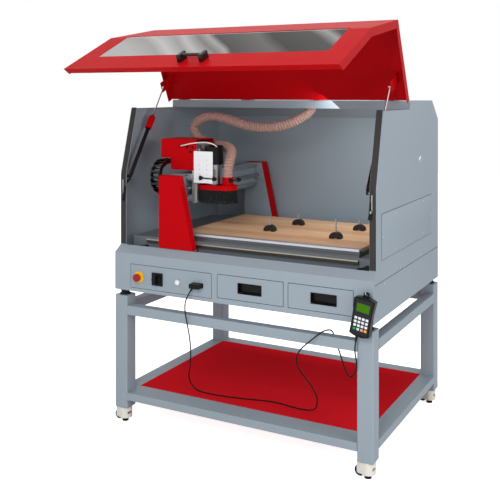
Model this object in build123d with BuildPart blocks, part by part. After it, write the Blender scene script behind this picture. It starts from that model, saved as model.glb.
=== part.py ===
from build123d import *
from math import atan2, cos, degrees, radians, sin, tan
import os

# Gantry milling machine on a castored stand, with a lift-up hood, at its real size in millimetres.
# X runs along the front to the right, Y runs to the back and Z up from the floor.
# The origin is on the floor under the middle of the machine with its hood open.

os.makedirs("parts", exist_ok=True)

# Overall sizes of the stand and the base
machine_width = 1470
machine_depth = 1110
castor_height = 84
leg_size = 80
leg_wall = 4
end_plate = 6
leg_top = 689
mount_height = 31
mount_radius = 29
upper_tube = 50
upper_tube_drop = 51
tube_wall = 3
lower_tube_height = 40
lower_tube_top = 168
front_tie_depth = 120
side_tie_width = 80
shelf_sheet = 2
shelf_lip = 25
shelf_gap = 1

# Hood, measured closed: its outside is three flat facets that follow the cabinet
hood_open_angle = 65
hood_front = 7
kink_rise = 390
hood_top_front = 114
hood_lip = 41
hood_sheet = 2
lip_gap = 2
hinge_y = 560
hinge_rise = 5.5
enclosure_height = 785

# Base cabinet
base_sheet = 3
shoulder_drop = 35
sill_depth = 50
base_height = 235
channel_depth = 55
hood_to_shoulder = 3

upper_tube_top = leg_top - upper_tube_drop
base_bottom = leg_top + mount_height
sill_height = base_bottom + base_height
crease_height = sill_height - shoulder_drop
channel_floor = sill_height - channel_depth
hood_kink = sill_height + kink_rise
cabinet_top = sill_height + enclosure_height
shoulder_slope = atan2(sill_height - crease_height, sill_depth)
hood_bottom = crease_height + hood_front * tan(shoulder_slope) + hood_to_shoulder / cos(shoulder_slope)
hinge_z = cabinet_top + hinge_rise
open_turn = radians(-hood_open_angle)

# The open hood reaches this far in front of the base and the castors can swing this far behind
# it, and the origin is midway along the whole
castor_overhang = 8.6
tip_y = hood_front - hinge_y
tip_z = hood_bottom - hinge_z
hood_reach = -(hinge_y + tip_y * cos(open_turn) - tip_z * sin(open_turn))
front = (hood_reach - machine_depth - castor_overhang) / 2
back = front + machine_depth
half_width = machine_width / 2
leg_x = half_width - leg_size / 2
leg_front_y = front + leg_size / 2
leg_back_y = back - leg_size / 2
corners = [(-leg_x, leg_front_y), (leg_x, leg_front_y), (-leg_x, leg_back_y), (leg_x, leg_back_y)]
corner_names = ["front_left", "front_right", "back_left", "back_right"]


def save(piece, name):
    """Label a finished piece and write it under its own name."""
    piece.part.label = name
    export_step(piece.part, f"parts/{name}.step")


def save_group(solids, name):
    """Write like pieces, each a solid of its own, under one name."""
    group = Compound(solids)
    group.label = name
    export_step(group, f"parts/{name}.step")


def slab(x0, x1, y0, y1, z0, z1, mode=Mode.ADD):
    """Add a plain block between two corners to the part that is open."""
    with Locations(((x0 + x1) / 2, (y0 + y1) / 2, (z0 + z1) / 2)):
        Box(x1 - x0, y1 - y0, z1 - z0, mode=mode)


def long_tube(x0, x1, mid_y, mid_z, depth, height, wall):
    """A rectangular tube along X."""
    with BuildPart() as tube:
        with BuildSketch(Plane(origin=(x0, mid_y, mid_z), x_dir=(0, 1, 0), z_dir=(1, 0, 0))):
            Rectangle(depth, height)
            Rectangle(depth - 2 * wall, height - 2 * wall, mode=Mode.SUBTRACT)
        extrude(amount=x1 - x0)
    return tube.part.solids()


def cross_tube(y0, y1, mid_x, mid_z, width, height, wall):
    """A rectangular tube along Y."""
    with BuildPart() as tube:
        with BuildSketch(Plane(origin=(mid_x, y1, mid_z), x_dir=(1, 0, 0), z_dir=(0, -1, 0))):
            Rectangle(width, height)
            Rectangle(width - 2 * wall, height - 2 * wall, mode=Mode.SUBTRACT)
        extrude(amount=y1 - y0)
    return tube.part.solids()


# Welded stand: four legs with end plates, square rails on top and flat rails below
inner_x = half_width - leg_size
inner_front = front + leg_size
inner_back = back - leg_size
leg_round = 6
upper_inset = upper_tube / 2
upper_mid = upper_tube_top - upper_inset
lower_mid = lower_tube_top - lower_tube_height / 2
side_tie_x = half_width - side_tie_width / 2

with BuildPart() as legs:
    with BuildSketch(Plane.XY.offset(castor_height + end_plate)):
        with Locations(*corners):
            RectangleRounded(leg_size, leg_size, leg_round)
            Rectangle(leg_size - 2 * leg_wall, leg_size - 2 * leg_wall, mode=Mode.SUBTRACT)
    extrude(amount=leg_top - castor_height - 2 * end_plate)

with BuildPart() as leg_plates:
    for level in (castor_height, leg_top - end_plate):
        with BuildSketch(Plane.XY.offset(level)):
            with Locations(*corners):
                RectangleRounded(leg_size, leg_size, leg_round)
        extrude(amount=end_plate)

stand_rails = [
    *long_tube(-inner_x, inner_x, front + upper_inset, upper_mid, upper_tube, upper_tube, tube_wall),
    *long_tube(-inner_x, inner_x, back - upper_inset, upper_mid, upper_tube, upper_tube, tube_wall),
    *long_tube(-inner_x, inner_x, front + front_tie_depth / 2, lower_mid, front_tie_depth,
               lower_tube_height, tube_wall),
    *long_tube(-inner_x, inner_x, back - leg_size / 2, lower_mid, leg_size, lower_tube_height, tube_wall),
]
for side in (-1, 1):
    upper_x = side * (half_width - upper_inset)
    stand_rails += cross_tube(inner_front, inner_back, upper_x, upper_mid, upper_tube, upper_tube, tube_wall)
    stand_rails += cross_tube(inner_front, inner_back, side * side_tie_x, lower_mid, side_tie_width,
                              lower_tube_height, tube_wall)

# Castor top plates under the legs, each with the king pin that its castor turns on
plate_size = 72
plate_thick = 4
pin_radius = 7
pin_length = 7
plate_low = castor_height - plate_thick

with BuildPart() as castor_plates:
    with BuildSketch(Plane.XY.offset(plate_low)):
        with Locations(*corners):
            RectangleRounded(plate_size, plate_size, leg_round)
    extrude(amount=plate_thick)
    with BuildSketch(Plane.XY.offset(plate_low)):
        with Locations(*corners):
            Circle(pin_radius)
    extrude(amount=-pin_length)

save_group([*legs.part.solids(), *leg_plates.part.solids(), *castor_plates.part.solids(), *stand_rails],
           "stand_frame")

# Lower shelf: two folded sheet trays side by side, level with the rails
shelf_y0 = front + front_tie_depth
shelf_y1 = inner_back

with BuildPart() as lower_shelf:
    for x0, x1 in ((-inner_x, -shelf_gap / 2), (shelf_gap / 2, inner_x)):
        slab(x0, x1, shelf_y0, shelf_y1, lower_tube_top - shelf_lip, lower_tube_top)
        slab(x0 + shelf_sheet, x1 - shelf_sheet, shelf_y0 + shelf_sheet, shelf_y1 - shelf_sheet,
             lower_tube_top - shelf_lip, lower_tube_top - shelf_sheet, mode=Mode.SUBTRACT)
save(lower_shelf, "lower_shelf")

# Rubber mounts between the leg tops and the base
mount_waist = 22
with BuildPart() as rubber_mounts:
    for x, y in corners:
        with BuildSketch(Plane(origin=(x, y, leg_top), x_dir=(1, 0, 0), z_dir=(0, -1, 0))):
            with BuildLine():
                outer = Polyline((0, mount_height), (0, 0), (mount_radius, 0), (mount_radius, 6))
                waist = ThreePointArc(outer @ 1, (mount_waist, mount_height / 2),
                                      (mount_radius, mount_height - 6))
                Polyline(waist @ 1, (mount_radius, mount_height), (0, mount_height))
            make_face()
        revolve(axis=Axis((x, y, 0), (0, 0, 1)))
save(rubber_mounts, "rubber_mounts")

# Levelling castors: an alloy body turns on the king pin with a wheel on one side, and a screwed
# foot stands in its middle, raised and lowered by a dial
trail = 38
wheel_radius = 26
wheel_width = 18
wheel_lift = 3
axle_radius = 4
body_radius = 36
body_low = 22
cheek = 4
wheel_room = 1.5
foot_radius = 17
foot_pad = 10
stem_radius = 8
stem_top = 60
dial_radius = 24
dial_low = 44
dial_height = 10
dial_room = 1.5
dial_edge = 10
running_gap = 0.05
tyre_round = 4
body_top = plate_low - 0.5
axle_z = wheel_lift + wheel_radius
fork_half = wheel_width / 2 + wheel_room + cheek
castor_turn = {"front_left": 180, "front_right": 180, "back_left": 180, "back_right": 180}

for name, (x, y) in zip(corner_names, corners):
    turned = Plane((x, y, 0)).rotated((0, 0, castor_turn[name]))
    axle_plane = Plane(origin=turned.from_local_coords(Vector(trail, 0, axle_z)), x_dir=turned.x_dir,
                       z_dir=turned.y_dir)

    with BuildPart() as castor_body:
        with BuildSketch(turned.offset(body_low)):
            with BuildLine():
                tip = trail + 12
                nose = ThreePointArc((0, body_radius), (-body_radius, 0), (0, -body_radius))
                Polyline(nose @ 1, (tip, -fork_half), (tip, fork_half), nose @ 0)
            make_face()
        extrude(amount=body_top - body_low)
        fillet(castor_body.edges().group_by(Axis.Z)[-1], 3)
        for cheek_start in (-fork_half, fork_half - cheek):
            with BuildSketch(axle_plane.offset(cheek_start)):
                Circle(12)
                with Locations((0, -12 if axle_plane.y_dir.Z < 0 else 12)):
                    Rectangle(24, 24)
            extrude(amount=cheek)
        with BuildSketch(turned.offset(axle_z - wheel_radius)):
            with Locations((trail, 0)):
                Rectangle(2 * (wheel_radius + wheel_room), wheel_width + 2 * wheel_room)
        extrude(amount=2 * wheel_radius + wheel_room, mode=Mode.SUBTRACT)
        with BuildSketch(turned.offset(dial_low - dial_room)):
            Circle(dial_radius + dial_room)
            with Locations((-body_radius, 0)):
                Rectangle(2 * body_radius, 2 * (dial_radius - 3))
            with Locations((dial_edge + body_radius, 0)):
                Rectangle(2 * body_radius, 2 * body_radius, mode=Mode.SUBTRACT)
        extrude(amount=dial_height + 2 * dial_room, mode=Mode.SUBTRACT)
        with BuildSketch(turned.offset(body_low)):
            Circle(stem_radius)
        extrude(amount=stem_top - body_low, mode=Mode.SUBTRACT)
        with BuildSketch(turned.offset(body_top)):
            Circle(pin_radius + running_gap)
        extrude(amount=-pin_length, mode=Mode.SUBTRACT)
        with BuildSketch(axle_plane.offset(-fork_half)):
            Circle(axle_radius)
        extrude(amount=2 * fork_half)

    with BuildPart() as castor_foot:
        with BuildSketch(turned):
            Circle(foot_radius)
        extrude(amount=foot_pad)
        fillet(castor_foot.edges().sort_by(Axis.Z)[-1], 3)
        with BuildSketch(turned.offset(foot_pad)):
            Circle(stem_radius)
        extrude(amount=stem_top - foot_pad)

    with BuildPart() as castor_dial:
        with BuildSketch(turned.offset(dial_low)):
            Circle(dial_radius)
            with Locations((dial_edge + body_radius, 0)):
                Rectangle(2 * body_radius, 2 * body_radius, mode=Mode.SUBTRACT)
            Circle(stem_radius, mode=Mode.SUBTRACT)
        extrude(amount=dial_height)
    save_group([*castor_body.part.solids(), *castor_foot.part.solids(), *castor_dial.part.solids()],
               f"castor_{name}")

    with BuildPart() as castor_wheel:
        for amount in (wheel_width / 2, -wheel_width / 2):
            with BuildSketch(axle_plane):
                Circle(wheel_radius)
                Circle(axle_radius + running_gap, mode=Mode.SUBTRACT)
            extrude(amount=amount)
        rims = castor_wheel.edges().filter_by(GeomType.CIRCLE)
        fillet(rims.filter_by(lambda rim: rim.radius > axle_radius + 1), tyre_round)
    save(castor_wheel, f"castor_wheel_{name}")

# Base cabinet of folded sheet: a sloped shoulder in front and an open tray on top for the bed
panel_inset = 106
panel_length = 502
panel_to_drawer = 36
drawer_width = 368
drawer_spacing = 28
pendant_clearance = 98
drawer_gap = 2.5
drawer_low = base_bottom + 29
drawer_high = crease_height - 54
panel_low = base_bottom + 20
panel_high = crease_height - 56
panel_span = (panel_inset - half_width, panel_inset - half_width + panel_length)
drawer_one = (panel_span[1] + panel_to_drawer, panel_span[1] + panel_to_drawer + drawer_width)
drawer_two = (drawer_one[1] + drawer_spacing, half_width - pendant_clearance)
panel_gap = 2
panel_frame = 10
partition = 2
partition_depth = 460
tray_inset = 14
ledge_width = 27
ledge_thick = 2
tray_rise = 12
tray_clear = 0.4


def outline_yz(points, x):
    """A flat outline in the plane across the machine, from points given as depth and height."""
    with BuildSketch(Plane(origin=(x, 0, 0), x_dir=(0, 1, 0), z_dir=(1, 0, 0)), mode=Mode.PRIVATE) as outline:
        with BuildLine():
            Polyline(*[(front + y, z) for y, z in points], close=True)
        make_face()
    return outline.sketch


inner_shoulder = crease_height - base_sheet * tan(shoulder_slope / 2)
sill_inner = sill_height - base_sheet / cos(shoulder_slope) - base_sheet * tan(shoulder_slope)
base_outline = [(0, base_bottom), (0, crease_height), (sill_depth, sill_height),
                (machine_depth, sill_height), (machine_depth, base_bottom)]
base_cavity = [(base_sheet, base_bottom + base_sheet), (base_sheet, inner_shoulder),
               (sill_depth - base_sheet, sill_inner), (sill_depth - base_sheet, channel_floor - base_sheet),
               (machine_depth - base_sheet, channel_floor - base_sheet),
               (machine_depth - base_sheet, base_bottom + base_sheet)]
wall_x = half_width - base_sheet

with BuildPart() as base_cabinet:
    extrude(outline_yz(base_outline, -half_width), amount=machine_width)
    extrude(outline_yz(base_cavity, -wall_x), amount=2 * wall_x, mode=Mode.SUBTRACT)
    slab(-wall_x, wall_x, front + sill_depth, back - base_sheet, channel_floor, sill_height,
         mode=Mode.SUBTRACT)
    panel_mid = (panel_low + panel_high) / 2
    panel_width = panel_span[1] - panel_span[0]
    panel_height = panel_high - panel_low
    panel_x = (panel_span[0] + panel_span[1]) / 2
    slab(panel_x - panel_width / 2 - panel_frame, panel_x + panel_width / 2 + panel_frame,
         front + base_sheet, front + 2 * base_sheet, panel_low - panel_frame, panel_high + panel_frame)
    slab(panel_span[0] - panel_gap, panel_span[1] + panel_gap, front, front + base_sheet,
         panel_low - panel_gap, panel_high + panel_gap, mode=Mode.SUBTRACT)
    slab(panel_span[0] + panel_frame, panel_span[1] - panel_frame, front, front + 2 * base_sheet,
         panel_low + panel_frame, panel_high - panel_frame, mode=Mode.SUBTRACT)
    for x0, x1 in (drawer_one, drawer_two):
        slab(x0 - drawer_gap, x1 + drawer_gap, front, front + base_sheet, drawer_low - drawer_gap,
             drawer_high + drawer_gap, mode=Mode.SUBTRACT)
        for wall, inward in ((x0 - drawer_gap - partition, 1), (x1 + drawer_gap, -1)):
            slab(wall, wall + partition, front + base_sheet, front + partition_depth,
                 base_bottom + base_sheet, channel_floor - base_sheet)
            edge = wall + partition if inward > 0 else wall
            low = drawer_low + tray_rise - tray_clear - ledge_thick
            slab(min(edge, edge + inward * ledge_width), max(edge, edge + inward * ledge_width),
                 front + base_sheet, front + partition_depth, low, low + ledge_thick)
save(base_cabinet, "base_cabinet")

# Drawers: a front with a sunk cup pull, and a folded tray behind it
drawer_sheet = 1.5
drawer_plate = 3
tray_depth = 430
tray_wall_height = drawer_high - drawer_low - 37
pull_width = 135
pull_height = 52
pull_depth = 16
pull_wall = 2
pull_mid_z = (drawer_low + drawer_high) / 2 + 1.5
pull_round = 5

for name, (x0, x1) in (("drawer_left", drawer_one), ("drawer_right", drawer_two)):
    mid = x0 + drawer_width / 2
    tray_x0 = x0 + tray_inset
    tray_x1 = x1 - tray_inset
    tray_low = drawer_low + tray_rise
    with BuildPart() as drawer:
        slab(x0, x1, front, front + drawer_plate, drawer_low, drawer_high)
        slab(tray_x0, tray_x1, front + drawer_plate, front + tray_depth, tray_low, tray_low + tray_wall_height)
        slab(tray_x0 + drawer_sheet, tray_x1 - drawer_sheet, front + drawer_plate,
             front + tray_depth - drawer_sheet, tray_low + drawer_sheet, tray_low + tray_wall_height,
             mode=Mode.SUBTRACT)
        with BuildSketch(Plane(origin=(mid, front, pull_mid_z), x_dir=(1, 0, 0), z_dir=(0, -1, 0))):
            RectangleRounded(pull_width, pull_height, pull_round)
        extrude(amount=-pull_depth)
        with BuildSketch(Plane(origin=(mid, front, pull_mid_z), x_dir=(1, 0, 0), z_dir=(0, -1, 0))):
            RectangleRounded(pull_width - 2 * pull_wall, pull_height - 2 * pull_wall, pull_round - pull_wall)
        extrude(amount=pull_wall - pull_depth, mode=Mode.SUBTRACT)
    save(drawer, name)

# Control panel in the left of the front, with the fixed fittings that stand on it
estop_x = panel_span[0] + 53
estop_z = panel_low + 60
switch_x = panel_span[0] + 172
button_x = panel_span[0] + 299
button_z = panel_low + 58
socket_x = panel_span[1] - 81
socket_z = panel_low + 57
ring_radius = 30
ring_thick = 5
switch_plate = 67
switch_thick = 8
socket_width = 66
socket_height = 26
socket_depth = 8
bezel_radius = 17
spindle_gap = 0.3
estop_stem = 9
switch_stem = 9
button_radius = 13
panel_face = Plane(origin=(0, front, 0), x_dir=(1, 0, 0), z_dir=(0, -1, 0))

with BuildPart() as panel_plate:
    slab(panel_span[0], panel_span[1], front, front + base_sheet, panel_low, panel_high)
    with BuildSketch(panel_face):
        with Locations((estop_x, estop_z), (switch_x, estop_z)):
            Circle(estop_stem + spindle_gap)
        with Locations((button_x, button_z)):
            Circle(button_radius + spindle_gap)
    extrude(amount=-base_sheet, mode=Mode.SUBTRACT)
save(panel_plate, "control_panel")

with BuildPart() as estop_ring:
    with BuildSketch(panel_face):
        with Locations((estop_x, estop_z)):
            Circle(ring_radius)
            Circle(estop_stem + spindle_gap, mode=Mode.SUBTRACT)
    extrude(amount=ring_thick)

with BuildPart() as switch_base:
    with BuildSketch(panel_face):
        with Locations((switch_x, estop_z)):
            RectangleRounded(switch_plate, switch_plate, 4)
            Circle(switch_stem + spindle_gap, mode=Mode.SUBTRACT)
    extrude(amount=switch_thick)
    chamfer(switch_base.faces().sort_by(Axis.Y)[0].outer_wire().edges(), 2)

with BuildPart() as button_bezel:
    with BuildSketch(panel_face):
        with Locations((button_x, button_z)):
            Circle(bezel_radius)
            Circle(button_radius + spindle_gap, mode=Mode.SUBTRACT)
    extrude(amount=3)

with BuildPart() as data_socket:
    with BuildSketch(panel_face):
        with Locations((socket_x, socket_z)):
            RectangleRounded(socket_width, socket_height, 6)
    extrude(amount=socket_depth)
    with BuildSketch(panel_face.offset(socket_depth)):
        with Locations((socket_x, socket_z)):
            RectangleRounded(socket_width - 14, socket_height - 8, 4)
    extrude(amount=2 - socket_depth, mode=Mode.SUBTRACT)
save_group([*estop_ring.part.solids(), *switch_base.part.solids(), *button_bezel.part.solids(),
            *data_socket.part.solids()], "panel_fittings")

# Mushroom emergency stop, rotary main switch and start button
stop_radius = 21
stop_travel = 5
stop_reach = 34
stop_head = 14
stop_round = 7
with BuildPart() as estop_button:
    stop_plane = Plane(origin=(estop_x, front, estop_z), x_dir=(1, 0, 0), z_dir=(0, -1, 0))
    with BuildSketch(stop_plane.offset(-base_sheet - 10)):
        Circle(estop_stem)
    extrude(amount=base_sheet + 10 + stop_reach - stop_head)
    with BuildSketch(stop_plane.offset(stop_reach - stop_head)):
        Circle(stop_radius)
    extrude(amount=stop_head)
    fillet(estop_button.edges().sort_by(Axis.Y)[0], stop_round)
save(estop_button, "estop_button")

knob_radius = 29
knob_height = 24
grip_width = 14
knob_gap = 0.5
with BuildPart() as switch_knob:
    knob_plane = Plane(origin=(switch_x, front - switch_thick - knob_gap, estop_z), x_dir=(1, 0, 0),
                       z_dir=(0, -1, 0))
    with BuildSketch(knob_plane):
        Circle(knob_radius)
    extrude(amount=8, taper=8)
    with BuildSketch(knob_plane.offset(8)):
        SlotOverall(2 * knob_radius - 8, grip_width, rotation=90)
    extrude(amount=knob_height - 8)
    with BuildSketch(knob_plane):
        Circle(switch_stem)
    extrude(amount=-switch_thick - base_sheet - 4)
save(switch_knob, "switch_knob")

button_reach = 8
with BuildPart() as start_button:
    with BuildSketch(Plane(origin=(button_x, front - button_reach, button_z), x_dir=(1, 0, 0), z_dir=(0, 1, 0))):
        Circle(button_radius)
    extrude(amount=button_reach + base_sheet + 6)
    chamfer(start_button.edges().sort_by(Axis.Y)[0], 1.5)
save(start_button, "start_button")

# Enclosure of sheet on the base: two sides with a folded edge round the opening, a roof and a back
panel_sheet = 2
edge_inset = 43
flange_width = 35
roof_back = machine_depth - 124
back_top = cabinet_top - 108
roof_lip = 43
roof_gap = 1.5
seal_thick = 4
seal_near = half_width - 35
seal_far = half_width - 5
inner_wall = half_width - panel_sheet


def beside(points, distance):
    """An open outline moved to its right by a distance, with its corners kept sharp."""
    turns = []
    for (y0, z0), (y1, z1) in zip(points, points[1:]):
        turn = atan2(z1 - z0, y1 - y0)
        if turns and turns[-1] - turn > radians(180):
            turn += radians(360)
        if turns and turn - turns[-1] > radians(180):
            turn -= radians(360)
        turns.append(turn)
    moved = []
    for index, (y, z) in enumerate(points):
        before = turns[max(index - 1, 0)]
        after = turns[min(index, len(turns) - 1)]
        reach = distance / cos((after - before) / 2)
        middle = (after + before) / 2
        moved.append((y + reach * sin(middle), z - reach * cos(middle)))
    return moved


def band(line, other):
    """The closed outline between two open outlines that run side by side."""
    return [*line, *reversed(other)]


hood_profile = [(hood_front, hood_bottom), (hood_front, hood_kink), (hood_top_front, cabinet_top),
                (hinge_y - roof_gap, cabinet_top)]
edge_line = beside(hood_profile, edge_inset)
edge_line[0] = (edge_line[0][0], sill_height)
edge_line[-1] = (hinge_y + roof_gap, edge_line[-1][1])
side_outline = [*edge_line, (hinge_y + roof_gap, cabinet_top), (roof_back, cabinet_top),
                (machine_depth, back_top), (machine_depth, sill_height)]

with BuildPart() as enclosure_sides:
    for side in (-1, 1):
        extrude(outline_yz(side_outline, side * inner_wall), amount=side * panel_sheet)
        flange = band(edge_line, beside(edge_line, panel_sheet))
        extrude(outline_yz(flange, side * inner_wall), amount=-side * flange_width)
save(enclosure_sides, "enclosure_sides")

roof_line = [(hinge_y + roof_gap, cabinet_top - roof_lip), (hinge_y + roof_gap, cabinet_top),
             (roof_back, cabinet_top), (machine_depth, back_top), (machine_depth, sill_height)]
with BuildPart() as enclosure_roof:
    extrude(outline_yz(band(roof_line, beside(roof_line, panel_sheet)), -inner_wall), amount=2 * inner_wall)
save(enclosure_roof, "enclosure_roof")

seal_line = beside(hood_profile, edge_inset - seal_thick)[:3]
seal_line[0] = (seal_line[0][0], sill_height + seal_thick)
seal_back = [(edge_line[0][0], sill_height + seal_thick), *edge_line[1:3]]
with BuildPart() as edge_seals:
    for side in (-1, 1):
        extrude(outline_yz(band(seal_line, seal_back), side * seal_far),
                amount=side * (seal_near - seal_far))
save(edge_seals, "edge_seals")

# Machine bed: a thick folded channel, rails along its front and back, and a slatted table on top
bed_side_gap = 35
bed_front = 122
bed_back_gap = 142
bed_plate = 10
bed_height = 94
bed_half = half_width - bed_side_gap
bed_back = machine_depth - bed_back_gap
deck_top = channel_floor + bed_height
rail_x0 = 100 - bed_half
rail_x1 = bed_half - 78
rail_drop = 28
rail_low = deck_top - rail_drop
rail_size = 20
rail_groove = 3
table_x0 = rail_x0 + 200
table_x1 = rail_x1 - 1
table_rise = 40
table_top = deck_top + table_rise
table_back = bed_back - 118
table_plate = 22
table_lip = 38
lip_groove = 6
slat_count = 8
slat_gap = 0.5

with BuildPart() as machine_bed:
    slab(-bed_half, bed_half, front + bed_front, front + bed_back, channel_floor, deck_top)
    slab(-bed_half, bed_half, front + bed_front + bed_plate, front + bed_back - bed_plate, channel_floor,
         deck_top - bed_plate, mode=Mode.SUBTRACT)
save(machine_bed, "machine_bed")


def grooved_bar(face, size, length):
    """A square guide rail with a groove along each side, drawn on the plane at its end."""
    with BuildPart() as bar:
        with BuildSketch(face):
            Rectangle(size, size)
            with Locations((-size / 2, size / 6), (size / 2, size / 6)):
                Rectangle(2 * rail_groove, size / 3, mode=Mode.SUBTRACT)
        extrude(amount=length)
    return bar.part.solids()


rail_mid = rail_low + rail_size / 2
x_rails = [
    *grooved_bar(Plane(origin=(rail_x0, front + bed_front - rail_size / 2, rail_mid), x_dir=(0, 0, 1),
                       z_dir=(1, 0, 0)), rail_size, rail_x1 - rail_x0),
    *grooved_bar(Plane(origin=(rail_x0, front + bed_back + rail_size / 2, rail_mid), x_dir=(0, 0, -1),
                       z_dir=(1, 0, 0)), rail_size, rail_x1 - rail_x0),
]
save_group(x_rails, "x_rails")

with BuildPart() as table_frame:
    slab(table_x0, table_x1, front + bed_front, front + table_back, deck_top, deck_top + table_plate)
    slab(table_x0, table_x1, front + bed_front, front + bed_front + table_lip, deck_top, table_top)
    slab(table_x0, table_x1, front + bed_front, front + bed_front + lip_groove, deck_top + 12, deck_top + 24,
         mode=Mode.SUBTRACT)
save(table_frame, "table_frame")

slat_start = bed_front + table_lip
slat_pitch = (table_back - slat_start) / slat_count
with BuildPart() as table_slats:
    for number in range(slat_count):
        near = front + slat_start + number * slat_pitch
        slab(table_x0, table_x1, near, near + slat_pitch - slat_gap, deck_top + table_plate, table_top)
save(table_slats, "table_slats")

# Hold-down clamps on the table: an arched block on a stud with a nut
clamp_length = 64
clamp_width = 34
clamp_height = 34
stud_radius = 4
nut_radius = 8
nut_height = 7
clamps = {(11, 389): 80, (65, 640): 60, (410, 350): 100, (433, 632): 62}
clamp_bodies = []
clamp_studs = []
for (x, y), stud_height in clamps.items():
    with BuildPart() as clamp_body:
        with BuildSketch(Plane(origin=(x, front + y + clamp_width / 2, table_top), x_dir=(1, 0, 0),
                               z_dir=(0, -1, 0))):
            with BuildLine():
                half = clamp_length / 2
                arch = ThreePointArc((-half, 12), (0, clamp_height), (half, 12))
                Polyline(arch @ 1, (half, 0), (12, 0))
                under = ThreePointArc((12, 0), (0, 9), (-12, 0))
                Polyline(under @ 1, (-half, 0), arch @ 0)
            make_face()
        extrude(amount=clamp_width)
        with BuildSketch(Plane(origin=(x, front + y, table_top), z_dir=(0, 0, 1))):
            Circle(stud_radius)
        extrude(amount=clamp_height, mode=Mode.SUBTRACT)
    clamp_bodies += clamp_body.part.solids()
    with BuildPart() as clamp_stud:
        with BuildSketch(Plane(origin=(x, front + y, table_top), z_dir=(0, 0, 1))):
            Circle(stud_radius)
        extrude(amount=stud_height)
        with BuildSketch(Plane(origin=(x, front + y, table_top + clamp_height), z_dir=(0, 0, 1))):
            RegularPolygon(nut_radius, 6)
        extrude(amount=nut_height)
    clamp_studs += clamp_stud.part.solids()
save_group([*clamp_bodies, *clamp_studs], "hold_down_clamps")

# X drive: a screw along the front of the bed in two brackets, turned by a motor at its right end
screw_y = 84
screw_z = channel_floor + 35
screw_radius = 8
screw_gap = 0.05
bracket_thick = 18
bracket_low = screw_z - 20
bracket_high = screw_z + 15
bracket_front = 66
motor_size = 57
motor_length = 54
motor_x = half_width - 67
flange_thick = 8
coupling_radius = 12
screw_plane = Plane(origin=(rail_x0, front + screw_y, screw_z), x_dir=(0, 1, 0), z_dir=(1, 0, 0))

with BuildPart() as x_brackets:
    for x0 in (rail_x0 - bracket_thick, rail_x1):
        slab(x0, x0 + bracket_thick, front + bracket_front, front + bed_front, bracket_low, bracket_high)
    slab(motor_x - flange_thick, motor_x, front + screw_y - motor_size / 2, front + bed_front,
         screw_z - motor_size / 2, screw_z + motor_size / 2)
    with BuildSketch(screw_plane.offset(-bracket_thick)):
        Circle(screw_radius + screw_gap)
    extrude(amount=motor_x - rail_x0 + bracket_thick, mode=Mode.SUBTRACT)

with BuildPart() as x_motor:
    with BuildSketch(screw_plane.offset(motor_x - rail_x0)):
        RectangleRounded(motor_size, motor_size, 5)
    extrude(amount=motor_length)
save_group([*x_brackets.part.solids(), *x_motor.part.solids()], "x_drive")

with BuildPart() as x_screw:
    with BuildSketch(screw_plane.offset(-bracket_thick)):
        Circle(screw_radius)
    extrude(amount=motor_x - rail_x0 + bracket_thick - 1)
    with BuildSketch(screw_plane.offset(rail_x1 + bracket_thick + 1 - rail_x0)):
        Circle(coupling_radius)
    extrude(amount=motor_x - flange_thick - rail_x1 - bracket_thick - 2)
save(x_screw, "x_screw")

# Gantry: two tapered end plates on rail blocks, a square tube between them and rails on its face
gantry_left = rail_x0 + 120
gantry_low = rail_low - 14
gantry_rise = 347
gantry_high = deck_top + gantry_rise
gantry_top_right = gantry_left + 124
gantry_foot_right = gantry_left + 210
post_thick = 18
post_back = 92
rear_post = bed_back + 30
cover_sheet = 2
cover_low = rail_low - 9
cover_front = 45
rear_cover_back = rear_post + 78
block_length = 60
block_gap = 0.5
block_front = 92
block_low = rail_low - 12
block_high = deck_top + 3
block_x = (gantry_left + 20, gantry_left + 135)
beam_x0 = gantry_left + 2
beam_x1 = gantry_left + 80
beam_height = 145
beam_high = gantry_high - 1
beam_low = beam_high - beam_height
beam_wall = 8
post_plane = Plane(origin=(0, front + post_back, 0), x_dir=(1, 0, 0), z_dir=(0, -1, 0))
rear_plane = Plane(origin=(0, front + rear_post + post_thick, 0), x_dir=(1, 0, 0), z_dir=(0, -1, 0))


def post_outline(inset, low, high):
    """The tapered outline of an end of the gantry, a distance inside the cover's outside."""
    slant = (gantry_foot_right - gantry_top_right) / (gantry_high + cover_sheet - cover_low)
    lean = inset / cos(atan2(slant, 1))
    right = [(gantry_top_right - lean + slant * (gantry_high + cover_sheet - z), z) for z in (low, high)]
    return [(gantry_left + inset, high), (gantry_left + inset, low), *right]


y_screw_x = beam_x1 + 25
y_screw_z = beam_low + 72
y_screw_radius = 10
y_bearing = 18
y_bearing_half = 20
nut_size = 34

with BuildPart() as gantry_posts:
    for plane in (post_plane, rear_plane):
        with BuildSketch(plane):
            with BuildLine():
                Polyline(*post_outline(cover_sheet, gantry_low, gantry_high), close=True)
            make_face()
        extrude(amount=post_thick)
    with BuildSketch(rear_plane):
        with Locations((y_screw_x, y_screw_z)):
            Circle(y_screw_radius + 2)
    extrude(amount=post_thick, mode=Mode.SUBTRACT)

with BuildPart() as gantry_beam:
    beam_mid = ((beam_x0 + beam_x1) / 2, (beam_low + beam_high) / 2)
    with BuildSketch(Plane(origin=(0, front + rear_post, 0), x_dir=(1, 0, 0), z_dir=(0, -1, 0))):
        with Locations(beam_mid):
            Rectangle(beam_x1 - beam_x0, beam_high - beam_low)
            Rectangle(beam_x1 - beam_x0 - 2 * beam_wall, beam_high - beam_low - 2 * beam_wall,
                      mode=Mode.SUBTRACT)
    extrude(amount=rear_post - post_back)

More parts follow.
